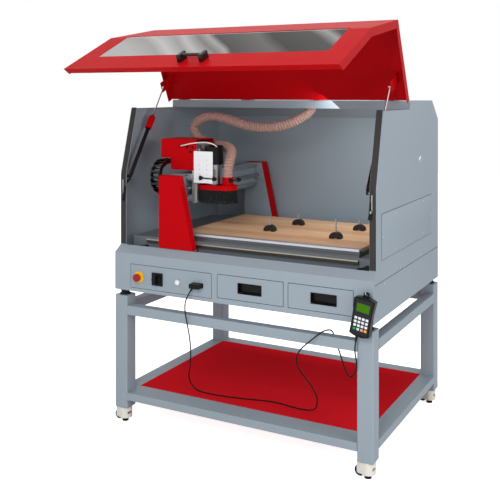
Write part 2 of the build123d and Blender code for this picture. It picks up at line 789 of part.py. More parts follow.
with BuildPart() as y_bearings:
    for y0 in (post_back, rear_post - y_bearing):
        slab(beam_x1, y_screw_x + y_bearing_half, front + y0, front + y0 + y_bearing,
             y_screw_z - y_bearing_half, y_screw_z + y_bearing_half)
    with BuildSketch(Plane(origin=(y_screw_x, front + post_back, y_screw_z), x_dir=(1, 0, 0), z_dir=(0, 1, 0))):
        Circle(y_screw_radius + screw_gap)
    extrude(amount=rear_post - post_back, mode=Mode.SUBTRACT)

nut_x = (block_x[0] + block_x[1] + block_length) / 2
with BuildPart() as x_nut:
    slab(nut_x - nut_size, nut_x + nut_size, front + screw_y - nut_size / 2, front + screw_y + nut_size / 2,
         screw_z - nut_size / 2, gantry_low)
    with BuildSketch(screw_plane.offset(nut_x - nut_size - rail_x0)):
        Circle(screw_radius + screw_gap)
    extrude(amount=2 * nut_size, mode=Mode.SUBTRACT)
save_group([*gantry_posts.part.solids(), *gantry_beam.part.solids(), *y_bearings.part.solids(),
            *x_nut.part.solids()], "gantry_frame")

y_rail_x = beam_x1 + 18
y_rail_size = 18
y_rail_levels = (beam_high - 16, beam_low + 16)
y_rail_y0 = post_back + 20
y_rail_y1 = rear_post - 20
with BuildPart() as x_blocks:
    for x0 in block_x:
        slab(x0, x0 + block_length, front + block_front, front + bed_front - 4, block_low, block_high)
        slab(x0, x0 + block_length, front + bed_back + 4, front + rear_post, block_low, block_high)
    for y0 in (bed_front - rail_size, bed_back):
        slab(rail_x0, rail_x1, front + y0 - block_gap, front + y0 + rail_size + block_gap,
             rail_low - block_gap, rail_low + rail_size + block_gap, mode=Mode.SUBTRACT)

y_rails = []
for level in y_rail_levels:
    y_rails += grooved_bar(Plane(origin=(beam_x1 + y_rail_size / 2, front + y_rail_y1, level),
                                 x_dir=(0, 0, 1), z_dir=(0, -1, 0)), y_rail_size, y_rail_y1 - y_rail_y0)
save_group([*x_blocks.part.solids(), *y_rails], "gantry_guides")

# Red sheet covers over both ends of the gantry, and the tray that carries the cable chain
chain_x0 = gantry_left - 80
chain_x1 = gantry_left - 22
chain_low = beam_low + 35
tray_front = 130
tray_back = rear_post - 98


def end_cover(plane, depth):
    """A folded cover, open to the machine and below, drawn from the plane where it starts."""
    with BuildPart() as cover:
        for inset, mode in ((0, Mode.ADD), (cover_sheet, Mode.SUBTRACT)):
            low = cover_low - (1 if inset else 0)
            with BuildSketch(plane):
                with BuildLine():
                    Polyline(*post_outline(inset, low, gantry_high + cover_sheet - inset), close=True)
                make_face()
            extrude(amount=depth - inset if depth > 0 else depth + inset, mode=mode)
    return cover.part.solids()


front_cover_plane = Plane(origin=(0, front + post_back - 2, 0), x_dir=(1, 0, 0), z_dir=(0, -1, 0))
rear_cover_plane = Plane(origin=(0, front + rear_post + 2, 0), x_dir=(1, 0, 0), z_dir=(0, -1, 0))
with BuildPart() as chain_tray:
    slab(chain_x0, gantry_left + cover_sheet, front + tray_front, front + tray_back, chain_low - 3,
         chain_low - 1)
    slab(gantry_left, beam_x0, front + tray_front, front + tray_back, chain_low - 1, chain_low + 16)
save_group([*end_cover(front_cover_plane, post_back - 2 - cover_front),
            *end_cover(rear_cover_plane, rear_post + 2 - rear_cover_back),
            *chain_tray.part.solids()], "gantry_covers")

# Cable chain: open links, each turning in the next, along a run, round a half turn and back
chain_pitch = 30
link_height = 26
link_side = 2.5
link_play = 0.4
link_bar = 12
bar_thick = 1.6
chain_loop_y = 172
lower_run = 9
upper_run = 2
chain_bottom = chain_low + link_height / 2
loop_links = 9


def chain_points():
    """The pins of the chain from its fixed end to the carriage, as depth and height."""
    points = [(chain_loop_y + chain_pitch * (lower_run - k), chain_bottom) for k in range(lower_run)]
    step = radians(180) / (loop_links - 0.5)
    reach = chain_pitch / (2 * sin(step / 2))
    for k in range(loop_links + 1):
        turn = radians(-90) - step * (k - 0.25)
        points.append((chain_loop_y + reach * cos(turn), chain_bottom + reach + reach * sin(turn)))
    y, z = points[-1]
    points += [(y + chain_pitch * (k + 1), z) for k in range(upper_run)]
    return points


chain_links = []
chain_pins = chain_points()
for number, ((y0, z0), (y1, z1)) in enumerate(zip(chain_pins, chain_pins[1:])):
    inner = (link_side + link_play) * (number % 2)
    along = Vector(0, y1 - y0, z1 - z0)
    middle = Vector(0, front + (y0 + y1) / 2, (z0 + z1) / 2)
    with BuildPart() as link:
        for x0 in (chain_x0 + inner, chain_x1 - inner - link_side):
            with BuildSketch(Plane(origin=middle + Vector(x0, 0, 0), x_dir=along, z_dir=(1, 0, 0))):
                RectangleRounded(along.length + link_height, link_height, link_height / 2 - 1)
            extrude(amount=link_side)
        with BuildSketch(Plane(origin=middle + Vector(chain_x0 + inner, 0, 0), x_dir=along, z_dir=(1, 0, 0))):
            for level in (-1, 1):
                with Locations((0, level * (link_height - bar_thick) / 2)):
                    Rectangle(link_bar if number % 2 == 0 else link_bar - 4, bar_thick)
        extrude(amount=chain_x1 - chain_x0 - 2 * inner)
    chain_links += link.part.solids()
save_group(chain_links, "cable_chain")

# Y drive: a screw along the beam, turned by a motor behind the rear end plate
y_screw_plane = Plane(origin=(y_screw_x, front + post_back, y_screw_z), x_dir=(1, 0, 0), z_dir=(0, 1, 0))
with BuildPart() as y_screw:
    with BuildSketch(y_screw_plane):
        Circle(y_screw_radius)
    extrude(amount=rear_post - post_back + post_thick - 2)
save(y_screw, "y_screw")

with BuildPart() as y_drive:
    with BuildSketch(y_screw_plane.offset(rear_post + post_thick - post_back)):
        RectangleRounded(motor_size, motor_size, 5)
    extrude(amount=motor_length)
save(y_drive, "y_drive")

# Carriage: a plate on four blocks, with its rails for Z, the nut and the screw's top bearing
carriage_y0 = 190
carriage_y1 = carriage_y0 + 180
carriage_low = beam_low - 10
carriage_top = beam_high + 160
carriage_x0 = beam_x1 + 38
carriage_x1 = carriage_x0 + 15
y_block_x0 = beam_x1 + 4
y_block_height = 36
y_block_length = 50
z_axis_y = carriage_y0 + 60
z_rail_size = 8
z_rail_width = 14
z_rail_y = (z_axis_y - 38, z_axis_y + 38)
z_screw_x = carriage_x1 + 19
z_screw_radius = 6
z_screw_low = carriage_low + 115
z_bearing_thick = 10
z_bearing_half = 26
z_motor_x = beam_x1 - 30
z_motor_length = 68

with BuildPart() as carriage_body:
    slab(carriage_x0, carriage_x1, front + carriage_y0, front + carriage_y1, carriage_low, carriage_top)
    slab(z_motor_x - motor_size / 2, z_screw_x + 12, front + z_axis_y - motor_size / 2,
         front + z_axis_y + motor_size / 2, carriage_top, carriage_top + z_bearing_thick)
    with BuildSketch(Plane.XY.offset(carriage_top)):
        with Locations((z_screw_x, front + z_axis_y)):
            Circle(z_screw_radius + screw_gap)
    extrude(amount=z_bearing_thick, mode=Mode.SUBTRACT)
    for level in y_rail_levels:
        for y0 in (carriage_y0 + 5, carriage_y1 - 5 - y_block_length):
            slab(y_block_x0, carriage_x0, front + y0, front + y0 + y_block_length,
                 level - y_block_height / 2, level + y_block_height / 2)
        slab(beam_x1, beam_x1 + y_rail_size + block_gap, front + carriage_y0, front + carriage_y1,
             level - y_rail_size / 2 - block_gap, level + y_rail_size / 2 + block_gap, mode=Mode.SUBTRACT)
    slab(y_screw_x - nut_size / 2, carriage_x0, front + z_axis_y + 12, front + z_axis_y + 62, y_screw_z - nut_size / 2,
         y_screw_z + nut_size / 2)
    with BuildSketch(y_screw_plane):
        Circle(y_screw_radius + screw_gap)
    extrude(amount=rear_post - post_back, mode=Mode.SUBTRACT)

z_rails = []
for y in z_rail_y:
    with BuildPart() as z_rail:
        slab(carriage_x1, carriage_x1 + z_rail_size, front + y - z_rail_width / 2,
             front + y + z_rail_width / 2, carriage_low + 5, carriage_top - 5)
    z_rails += z_rail.part.solids()
save_group([*carriage_body.part.solids(), *z_rails], "carriage_plate")

with BuildPart() as z_motor:
    with BuildSketch(Plane((z_motor_x, front + z_axis_y, carriage_top))):
        RectangleRounded(motor_size, motor_size, 5)
    extrude(amount=-z_motor_length)
save(z_motor, "z_motor")

z_screw_top = carriage_top + z_bearing_thick + 6
with BuildPart() as z_screw:
    with BuildSketch(Plane((z_screw_x, front + z_axis_y, z_screw_low))):
        Circle(z_screw_radius)
    extrude(amount=z_screw_top - z_screw_low)
save(z_screw, "z_screw")

# Red carriage cover: a folded box open below and towards the spindle, longer over the beam's front
cover_x0 = chain_x0 - 3
cover_x1 = carriage_x1 + 13
carriage_cover_front = carriage_y0 - 2
carriage_cover_back = carriage_y1 + 2
carriage_cover_top = carriage_top + 29
cover_low_left = carriage_top - 74
cover_low_right = beam_high + 22
cover_step_x = cover_x0 + 65
with BuildPart() as carriage_cover:
    cover_face = Plane(origin=(0, front + carriage_cover_back, 0), x_dir=(1, 0, 0), z_dir=(0, -1, 0))
    with BuildSketch(cover_face):
        with BuildLine():
            Polyline((cover_x0, carriage_cover_top), (cover_x0, cover_low_left),
                     (cover_step_x, cover_low_left), (cover_step_x, cover_low_right),
                     (cover_x1, cover_low_right), (cover_x1, carriage_cover_top), close=True)
        make_face()
    extrude(amount=carriage_cover_back - carriage_cover_front)
    slab(cover_x0 + cover_sheet, cover_x1 + 1, front + carriage_cover_front + cover_sheet,
         front + carriage_cover_back - cover_sheet, cover_low_right - 1, carriage_cover_top - cover_sheet,
         mode=Mode.SUBTRACT)
save(carriage_cover, "carriage_cover")

# Z slide: a plate on the carriage's rails that clamps the spindle
slide_y0 = z_axis_y - 48
slide_y1 = z_axis_y + 48
slide_low = carriage_low + 105
slide_top = carriage_top - 20
slide_x0 = carriage_x1 + z_rail_size + 0.5
slide_x1 = slide_x0 + 20.5
spindle_x = slide_x1 + 60
spindle_radius = 40
clamp_x1 = spindle_x + 26
clamp_low = slide_low + 20
clamp_high = clamp_low + 60
clamp_side = 55
z_block_height = 40
z_block_wall = 7
z_block_gap = 0.4

with BuildPart() as z_slide:
    slab(slide_x0, slide_x1, front + slide_y0, front + slide_y1, slide_low, slide_top)
    with BuildSketch(Plane((z_screw_x, front + z_axis_y, slide_low))):
        Circle(z_screw_radius + screw_gap)
    extrude(amount=slide_top - slide_low, mode=Mode.SUBTRACT)
    slab(slide_x1, clamp_x1, front + z_axis_y - clamp_side, front + z_axis_y + clamp_side, clamp_low,
         clamp_high)
    with BuildSketch(Plane((spindle_x, front + z_axis_y, clamp_low))):
        Circle(spindle_radius)
    extrude(amount=clamp_high - clamp_low, mode=Mode.SUBTRACT)
    for y in z_rail_y:
        for z0 in (slide_low, slide_top - z_block_height):
            for edge in (y - z_rail_width / 2 - z_block_gap - z_block_wall,
                         y + z_rail_width / 2 + z_block_gap):
                slab(slide_x0 - z_rail_size + 1, slide_x0, front + edge, front + edge + z_block_wall, z0,
                     z0 + z_block_height)
save(z_slide, "z_slide_plate")

# White side plate of the Z slide, drilled with two columns of holes and held off by spacers
scale_x0 = slide_x0 - 6.5
scale_x1 = scale_x0 + 118
scale_y = slide_y0 - 22
scale_low = slide_low + 8
scale_high = slide_top - 12
scale_thick = 3
scale_hole = 2.5
spacer_radius = 6
spacer_places = [(slide_x0 + 12, slide_low + 30), (slide_x0 + 12, slide_top - 30)]
with BuildPart() as scale_plate:
    scale_face = Plane(origin=(0, front + scale_y, 0), x_dir=(1, 0, 0), z_dir=(0, -1, 0))
    with BuildSketch(scale_face):
        with Locations(((scale_x0 + scale_x1) / 2, (scale_low + scale_high) / 2)):
            RectangleRounded(scale_x1 - scale_x0, scale_high - scale_low, 3)
            with GridLocations(44, 26, 2, 4):
                Circle(scale_hole, mode=Mode.SUBTRACT)
    extrude(amount=-scale_thick)
    with BuildSketch(scale_face.offset(-scale_thick)):
        with Locations(*spacer_places):
            Circle(spacer_radius)
    extrude(amount=scale_y + scale_thick - slide_y0)
save(scale_plate, "scale_plate")

# Spindle: a round body with a black cap and a nose, and the shaft with its collet nut inside
body_bottom = slide_low
cap_low = body_bottom + 106
cap_top = cap_low + 103
cap_radius = 50
nose_radius = 25
nose_low = body_bottom - 28
bore_depth = 90
shaft_radius = 8
shaft_low = nose_low - 26
collet_radius = 13
collet_high = shaft_low + 20
collet_low = shaft_low - 10
collet_bore = 3.05
collet_depth = 26

with BuildPart() as spindle_motor:
    with BuildSketch(Plane((spindle_x, front + z_axis_y, nose_low))):
        Circle(nose_radius)
    extrude(amount=body_bottom - nose_low)
    with BuildSketch(Plane((spindle_x, front + z_axis_y, body_bottom))):
        Circle(spindle_radius)
    extrude(amount=cap_low - body_bottom)
    with BuildSketch(Plane((spindle_x, front + z_axis_y, nose_low))):
        Circle(shaft_radius + screw_gap)
    extrude(amount=bore_depth, mode=Mode.SUBTRACT)
with BuildPart() as spindle_cap:
    with BuildSketch(Plane((spindle_x, front + z_axis_y, cap_low))):
        Circle(cap_radius)
    extrude(amount=cap_top - cap_low)
    chamfer(spindle_cap.edges().sort_by(Axis.Z)[-1], 8)
save_group([*spindle_motor.part.solids(), *spindle_cap.part.solids()], "spindle_body")

with BuildPart() as spindle_shaft:
    with BuildSketch(Plane((spindle_x, front + z_axis_y, shaft_low))):
        Circle(shaft_radius)
    extrude(amount=nose_low + bore_depth - 1 - shaft_low)
    with BuildSketch(Plane((spindle_x, front + z_axis_y, collet_low))):
        RegularPolygon(collet_radius, 6)
    extrude(amount=collet_high - collet_low)
    with BuildSketch(Plane((spindle_x, front + z_axis_y, collet_low))):
        Circle(collet_bore)
    extrude(amount=collet_depth, mode=Mode.SUBTRACT)
save(spindle_shaft, "spindle_shaft")

# Dust shoe: an oval plate round the nose with the hose port, and a ring of bristles under it
shoe_x0 = spindle_x - 87
shoe_x1 = spindle_x + 137
shoe_width = 120
shoe_low = nose_low
shoe_high = shoe_low + 24
shoe_sheet = 4
port_x = spindle_x + 86
port_radius = 31
port_wall = 3
port_top = shoe_high + 44
brush_low = shoe_low - 75
brush_thick = 12
brush_inset = 3
hose_radius = 28
shoe_mid = Plane(((shoe_x0 + shoe_x1) / 2, front + z_axis_y, shoe_low))
nose_offset = spindle_x - (shoe_x0 + shoe_x1) / 2
port_offset = port_x - (shoe_x0 + shoe_x1) / 2

with BuildPart() as dust_shoe:
    with BuildSketch(shoe_mid):
        SlotOverall(shoe_x1 - shoe_x0, shoe_width)
    extrude(amount=shoe_high - shoe_low)
    with BuildSketch(shoe_mid):
        SlotOverall(shoe_x1 - shoe_x0 - 2 * shoe_sheet, shoe_width - 2 * shoe_sheet)
    extrude(amount=shoe_high - shoe_sheet - shoe_low, mode=Mode.SUBTRACT)
    with BuildSketch(shoe_mid.offset(shoe_high - shoe_low)):
        with Locations((port_offset, 0)):
            Circle(port_radius)
    extrude(amount=port_top - shoe_high)
    with BuildSketch(shoe_mid):
        with Locations((port_offset, 0)):
            Circle(port_radius - port_wall)
        with Locations((nose_offset, 0)):
            Circle(nose_radius)
    extrude(amount=port_top - shoe_low, mode=Mode.SUBTRACT)
save(dust_shoe, "dust_shoe")

with BuildPart() as dust_brush:
    with BuildSketch(shoe_mid):
        SlotOverall(shoe_x1 - shoe_x0 - 2 * brush_inset, shoe_width - 2 * brush_inset)
        SlotOverall(shoe_x1 - shoe_x0 - 2 * brush_inset - 2 * brush_thick,
                    shoe_width - 2 * brush_inset - 2 * brush_thick, mode=Mode.SUBTRACT)
    extrude(amount=brush_low - shoe_low)
save(dust_brush, "dust_brush")

# Dust hose: from the shoe's port up behind the spindle and the carriage to a port in the roof
hose_route = [(port_x, 250, port_top - 24), (port_x, 250, 1392), (-188, 332, 1466), (-290, 418, 1486),
              (-415, 440, 1490), (-500, 448, 1535), (-515, 452, 1605), (-440, 458, 1650), (-320, 475, 1640),
              (-190, 490, 1595), (-60, 510, 1585), (60, 550, 1610), (130, 610, 1660),
              (150, 645, 1700), (150, 645, cabinet_top - panel_sheet)]


def corner_radii(points):
    """A round for each corner of a route, as large as its shorter run allows."""
    radii = []
    for before, corner, after in zip(points, points[1:], points[2:]):
        run_in = Vector(corner) - Vector(before)
        run_out = Vector(after) - Vector(corner)
        half_turn = radians(run_in.get_angle(run_out) / 2)
        radii.append(0.45 * min(run_in.length, run_out.length) / tan(half_turn))
    return radii


def tube(route, radius):
    """A round tube along a route of points, with its corners rounded."""
    points = [Vector(x, front + y, z) for x, y, z in route]
    with BuildPart() as swept:
        with BuildLine() as line:
            FilletPolyline(*points, radius=corner_radii(points))
        with BuildSketch(Plane(origin=line.wire() @ 0, z_dir=line.wire() % 0)):
            Circle(radius)
        sweep(path=line.wire())
    print("radii", [round(r) for r in corner_radii(points)])
    print("length", round(line.wire().length), "volume over section", swept.part.volume / radius ** 2 / radians(180))
    return swept.part.solids()


save_group(tube(hose_route, hose_radius), "dust_hose")

# Hood: a folded sheet with side and lower edges, made closed and then turned open about its hinge
hinge_line = Axis((0, front + hinge_y, hinge_z), (1, 0, 0))
window_half = half_width - 107
window_low = hood_kink - 264
window_over_kink = 45
window_lap = 12
pane_thick = 4
handle_x = (-80, 38)
handle_low = window_low - 100
handle_high = handle_low + 57
handle_width = 21
handle_reach = 38
grip_radius = 7
hood_tilt = atan2(hood_top_front - hood_front, cabinet_top - hood_kink)


def save_on_hood(solids, name):
    """Write pieces that were made on the closed hood, turned with it to where it stands open."""
    save_group([solid.rotate(hinge_line, -hood_open_angle) for solid in solids], name)


lip_end = (hood_front + hood_lip * cos(shoulder_slope), hood_bottom + hood_lip * sin(shoulder_slope))
hood_line = [lip_end, *hood_profile]
with BuildPart() as hood_shell:
    extrude(outline_yz(band(hood_line, beside(hood_line, hood_sheet)), -half_width), amount=machine_width)
    side_line = beside(hood_profile, hood_lip)
    side_line[0] = (side_line[0][0], hood_bottom + hood_lip * tan(shoulder_slope))
    for side in (-1, 1):
        extrude(outline_yz(band(hood_profile, side_line), side * half_width), amount=-side * hood_sheet)
    slab(-window_half, window_half, front - 10, front + hood_front + window_over_kink, window_low,
         hood_kink + window_over_kink * cos(hood_tilt), mode=Mode.SUBTRACT)
save_on_hood(hood_shell.part.solids(), "hood_shell")

pane_top = window_over_kink + window_lap
pane_line = [(hood_front, window_low - window_lap), (hood_front, hood_kink),
             (hood_front + pane_top * sin(hood_tilt), hood_kink + pane_top * cos(hood_tilt))]
with BuildPart() as hood_window:
    pane = band(beside(pane_line, hood_sheet), beside(pane_line, hood_sheet + pane_thick))
    extrude(outline_yz(pane, -window_half - window_lap), amount=2 * (window_half + window_lap))
save_on_hood(hood_window.part.solids(), "hood_window")

with BuildPart() as hood_handle:
    for x in handle_x:
        slab(x - handle_width / 2, x + handle_width / 2, front + hood_front - handle_reach,
             front + hood_front, handle_low, handle_high)
    fillet(hood_handle.edges().filter_by(Axis.Z).group_by(Axis.Y)[0], 6)
with BuildPart() as handle_grip:
    grip_mid = (handle_low + handle_high) / 2
    with BuildSketch(Plane(origin=(handle_x[0] + handle_width / 2, front + hood_front - handle_reach + 10,
                                   grip_mid), x_dir=(0, 1, 0), z_dir=(1, 0, 0))):
        Ellipse(grip_radius, 1.6 * grip_radius)
    extrude(amount=handle_x[1] - handle_x[0] - handle_width)
save_on_hood([*hood_handle.part.solids(), *handle_grip.part.solids()], "hood_handle")

# Hood hinges: leaves on the roof with two knuckles and the pin, and leaves on the hood with one
hinge_count = 4
hinge_inset = (85, 97)
hinge_length = 80
knuckle_radius = 5
hinge_pin = 2.5
hinge_spacing = (machine_width - hinge_inset[0] - hinge_inset[1]) / (hinge_count - 1)
hinge_places = [hinge_inset[0] - half_width + number * hinge_spacing for number in range(hinge_count)]
hinge_gap = 0.05
middle_knuckle = 14
knuckle_gap = 0.3
leaf_width = 32
leaf_thick = 2.5
leaf_cut = 6.5


def hinge_leaf(middle, direction, spans, bore):
    """A leaf lying on the sheet beside the hinge line, with a knuckle over each span."""
    with BuildPart() as leaf:
        near = front + hinge_y
        far = near + direction * leaf_width
        slab(middle - hinge_length / 2, middle + hinge_length / 2, min(near + direction * leaf_cut, far),
             max(near + direction * leaf_cut, far), cabinet_top, cabinet_top + leaf_thick)
        for low, high in spans:
            slab(middle + low, middle + high, min(near, near + direction * leaf_cut),
                 max(near, near + direction * leaf_cut), cabinet_top, cabinet_top + leaf_thick)
            knuckle_end = Plane(origin=(middle + low, near, hinge_z), x_dir=(0, 1, 0), z_dir=(1, 0, 0))
            with BuildSketch(knuckle_end):
                Circle(knuckle_radius)
            extrude(amount=high - low)
        with BuildSketch(Plane(origin=(middle - hinge_length / 2, near, hinge_z), x_dir=(0, 1, 0),
                               z_dir=(1, 0, 0))):
            Circle(bore)
        extrude(amount=hinge_length, mode=Mode.SUBTRACT)
    return leaf.part.solids()


roof_hinges = []
hood_hinges = []
half_hinge = hinge_length / 2
for x in hinge_places:
    roof_hinges += hinge_leaf(x, 1, ((-half_hinge, -middle_knuckle), (middle_knuckle, half_hinge)), hinge_pin)
    with BuildPart() as pin:
        with BuildSketch(Plane(origin=(x - half_hinge, front + hinge_y, hinge_z), x_dir=(0, 1, 0),
                               z_dir=(1, 0, 0))):
            Circle(hinge_pin)
        extrude(amount=hinge_length)
    roof_hinges += pin.part.solids()
    span = middle_knuckle - knuckle_gap
    hood_hinges += hinge_leaf(x, -1, ((-span, span),), hinge_pin + hinge_gap)

# Gas struts: a cylinder on a stud at each side of the opening, its rod's eye at a stud on the hood
strut_x = half_width - 50
strut_low = (60, hood_kink - 30)
strut_high_closed = (hinge_y - 135, hinge_z - 124.5)
strut_stud = 4
stud_gap = 0.05
eye_radius = 9
eye_width = 10
cylinder_radius = 11
cylinder_start = 14
cylinder_length = 390
cylinder_bore = 9
rod_radius = 4
rod_inner = 335
rod_gap = 0.05
guide_length = 20
strut_plate = 3
low_plate_x = strut_x + 13
high_plate_x = strut_x + 7
open_pivot_gap = 0.5
low_bracket_high = strut_low[1] + 18
low_bracket_low = strut_low[1] - 23
low_bracket_depth = 26
hood_bracket_length = 60

strut_dy = strut_high_closed[0] - hinge_y
strut_dz = strut_high_closed[1] - hinge_z
strut_high = (hinge_y + strut_dy * cos(open_turn) - strut_dz * sin(open_turn),
              hinge_z + strut_dy * sin(open_turn) + strut_dz * cos(open_turn))
strut_turn = atan2(strut_high[1] - strut_low[1], strut_high[0] - strut_low[0])
strut_length = ((strut_high[0] - strut_low[0]) ** 2 + (strut_high[1] - strut_low[1]) ** 2) ** 0.5
roof_brackets = []
hood_brackets = []
for side, name in ((-1, "left"), (1, "right")):
    strut_plane = Plane(origin=(side * strut_x, front + strut_low[0], strut_low[1]),
                        x_dir=(0, cos(strut_turn), sin(strut_turn)), z_dir=(1, 0, 0))
    along_strut = Plane(origin=strut_plane.origin, x_dir=(1, 0, 0), z_dir=strut_plane.x_dir)

    with BuildPart() as strut_cylinder:
        with BuildSketch(strut_plane.offset(-eye_width / 2)):
            Circle(eye_radius)
            with Locations((cylinder_start / 2 + 1, 0)):
                Rectangle(cylinder_start + 2, eye_radius)
        extrude(amount=eye_width)
        with BuildSketch(along_strut.offset(cylinder_start)):
            Circle(cylinder_radius)
        extrude(amount=cylinder_length)
        with BuildSketch(along_strut.offset(cylinder_start + 8)):
            Circle(cylinder_bore)
        extrude(amount=cylinder_length - 8 - guide_length, mode=Mode.SUBTRACT)
        with BuildSketch(along_strut.offset(cylinder_start + cylinder_length - guide_length)):
            Circle(rod_radius + rod_gap)
        extrude(amount=guide_length, mode=Mode.SUBTRACT)
        with BuildSketch(strut_plane.offset(-eye_width / 2)):
            Circle(strut_stud + stud_gap)
        extrude(amount=eye_width, mode=Mode.SUBTRACT)
    save(strut_cylinder, f"strut_cylinder_{name}")

    with BuildPart() as strut_rod:
        with BuildSketch(along_strut.offset(rod_inner)):
            Circle(rod_radius)
        extrude(amount=strut_length - eye_radius + 2 - rod_inner)
        with BuildSketch(along_strut.offset(rod_inner)):
            Circle(cylinder_bore - 0.1)
        extrude(amount=10)
        with BuildSketch(strut_plane.offset(-eye_width / 2)):
            with Locations((strut_length, 0)):
                Circle(eye_radius)
                Circle(strut_stud + stud_gap, mode=Mode.SUBTRACT)
        extrude(amount=eye_width)
    save(strut_rod, f"strut_rod_{name}")

    with BuildPart() as low_bracket:
        near = side * low_plate_x
        far = near + side * strut_plate
        face_y = front + edge_line[1][0] + panel_sheet
        slab(min(near, far), max(near, far), face_y, face_y + low_bracket_depth, low_bracket_low,
             low_bracket_high)
        slab(min(near, near + side * 28), max(near, near + side * 28), face_y, face_y + strut_plate,
             low_bracket_low, edge_line[1][1] - 4)
        with BuildSketch(strut_plane.offset(near - side * strut_x)):
            Circle(strut_stud)
        extrude(amount=-side * (low_plate_x - strut_x + eye_width / 2 + 2))
    roof_brackets += low_bracket.part.solids()

    with BuildPart() as hood_bracket:
        near = side * high_plate_x
        far = near + side * strut_plate
        mid = front + strut_high_closed[0]
        sheet_under = cabinet_top - hood_sheet
        slab(min(near, far), max(near, far), mid - hood_bracket_length / 2, mid + hood_bracket_length / 2,
             strut_high_closed[1] - 10, sheet_under)
        slab(min(far, far - side * 28), max(far, far - side * 28), mid - hood_bracket_length / 2,
             mid + hood_bracket_length / 2, sheet_under - strut_plate, sheet_under)
        with BuildSketch(Plane(origin=(near, mid, strut_high_closed[1]), x_dir=(0, 1, 0), z_dir=(1, 0, 0))):
            Circle(strut_stud)
        extrude(amount=side * (strut_x + eye_width / 2 + open_pivot_gap - high_plate_x))
    hood_brackets += hood_bracket.part.solids()
save_group([*roof_hinges, *roof_brackets], "hinge_brackets")
save_on_hood([*hood_hinges, *hood_brackets], "hood_fittings")

# Pendant on a hook at the right of the front, its cord looping over the shelf to a plug
pendant_tilt = 10
pendant_width = 103
pendant_waist = 92
pendant_height = 183
pendant_depth = 32
pendant_x = half_width - 39
pendant_y = -30
pendant_z = base_bottom + 42
lug_rise = 11
lug_radius = 14
lug_hole = 6
hook_radius = 2.5
hook_play = 0.05
relief_offset = 14
relief_radius = 7
relief_length = 33
tilt = radians(pendant_tilt)
pendant = Plane(origin=(pendant_x, front + pendant_y, pendant_z), x_dir=(cos(tilt), 0, -sin(tilt)),
                z_dir=(0, -1, 0))

with BuildPart() as pendant_case:
    with BuildSketch(pendant.offset(-pendant_depth / 2)):
        with BuildLine():
            top = pendant_height / 2
            half = pendant_width / 2
            right = ThreePointArc((half, top - 10), (pendant_waist / 2, -15), (half - 3, 10 - top))
            bottom = ThreePointArc(right @ 1, (0, -top - 1), (3 - half, 10 - top))
            left = ThreePointArc(bottom @ 1, (-pendant_waist / 2, -15), (-half, top - 10))
            ThreePointArc(left @ 1, (0, top + 1), right @ 0)
        make_face()
    extrude(amount=pendant_depth)
    with BuildSketch(pendant.offset(-4)):
        with Locations((0, top + lug_rise - 4)):
            Rectangle(2 * lug_radius, 2 * lug_radius)
        with Locations((0, top + lug_rise)):
            Circle(lug_radius)
    extrude(amount=8)
    with BuildSketch(pendant.offset(-4)):
        with Locations((0, top + lug_rise)):
            Circle(lug_hole)
    extrude(amount=8, mode=Mode.SUBTRACT)
    relief_plane = Plane(origin=pendant.from_local_coords(Vector(-relief_offset, 2 - top, 0)),
                         x_dir=(0, 1, 0), z_dir=-pendant.y_dir)
    with BuildSketch(relief_plane):
        Circle(relief_radius)
    extrude(amount=relief_length, taper=4)
save(pendant_case, "pendant_case")

face_thick = 1.2
key_height = 1.2
with BuildPart() as pendant_face:
    face_plane = pendant.offset(pendant_depth / 2)
    with BuildSketch(face_plane):
        RectangleRounded(pendant_waist - 12, pendant_height - 22, 5)
    extrude(amount=face_thick)
    with BuildSketch(face_plane.offset(face_thick)):
        with Locations((0, 44)):
            RectangleRounded(72, 48, 4)
            RectangleRounded(62, 38, 2, mode=Mode.SUBTRACT)
        with Locations((0, -31)):
            with GridLocations(18, 17, 4, 4):
                RectangleRounded(13, 11, 2)
    extrude(amount=key_height)
save(pendant_face, "pendant_face")

lug_centre = pendant.from_local_coords(Vector(0, top + lug_rise, 0))
hook_z = lug_centre.Z + lug_hole - hook_radius - hook_play
with BuildPart() as pendant_hook:
    with BuildLine() as hook_line:
        FilletPolyline((lug_centre.X, front, hook_z), (lug_centre.X, front + pendant_y - 16, hook_z),
                       (lug_centre.X, front + pendant_y - 16, hook_z + 18), radius=7)
    with BuildSketch(Plane(origin=(lug_centre.X, front, hook_z), x_dir=(1, 0, 0), z_dir=(0, -1, 0))):
        Circle(hook_radius)
    sweep(path=hook_line.wire())
save(pendant_hook, "pendant_hook")

plug_width = 62
plug_height = 24
plug_front = -40
plug_back = -2
plug_exit = (-228, -22, 784)
plug_end = (-238, -27.5, 765)
cord_radius = 3.25
with BuildPart() as pendant_plug:
    with BuildSketch(Plane(origin=(socket_x, front - 2, socket_z), x_dir=(1, 0, 0), z_dir=(0, -1, 0))):
        RectangleRounded(plug_width - 12, plug_height - 8, 3)
    extrude(amount=socket_depth - 2)
    with BuildSketch(Plane(origin=(socket_x, front - socket_depth, socket_z), x_dir=(1, 0, 0),
                           z_dir=(0, -1, 0))):
        RectangleRounded(plug_width, plug_height, 5)
    extrude(amount=-plug_front - socket_depth)
    chamfer(pendant_plug.faces().sort_by(Axis.Y)[0].outer_wire().edges(), 3)
    plug_from = Vector(plug_exit[0], front + plug_exit[1], plug_exit[2])
    plug_to = Vector(plug_end[0], front + plug_end[1], plug_end[2])
    with BuildSketch(Plane(origin=plug_from - (plug_to - plug_from) * 0.3, z_dir=plug_to - plug_from)):
        Circle(6)
    extrude(amount=(plug_to - plug_from).length * 1.3, taper=5)
save(pendant_plug, "pendant_plug")

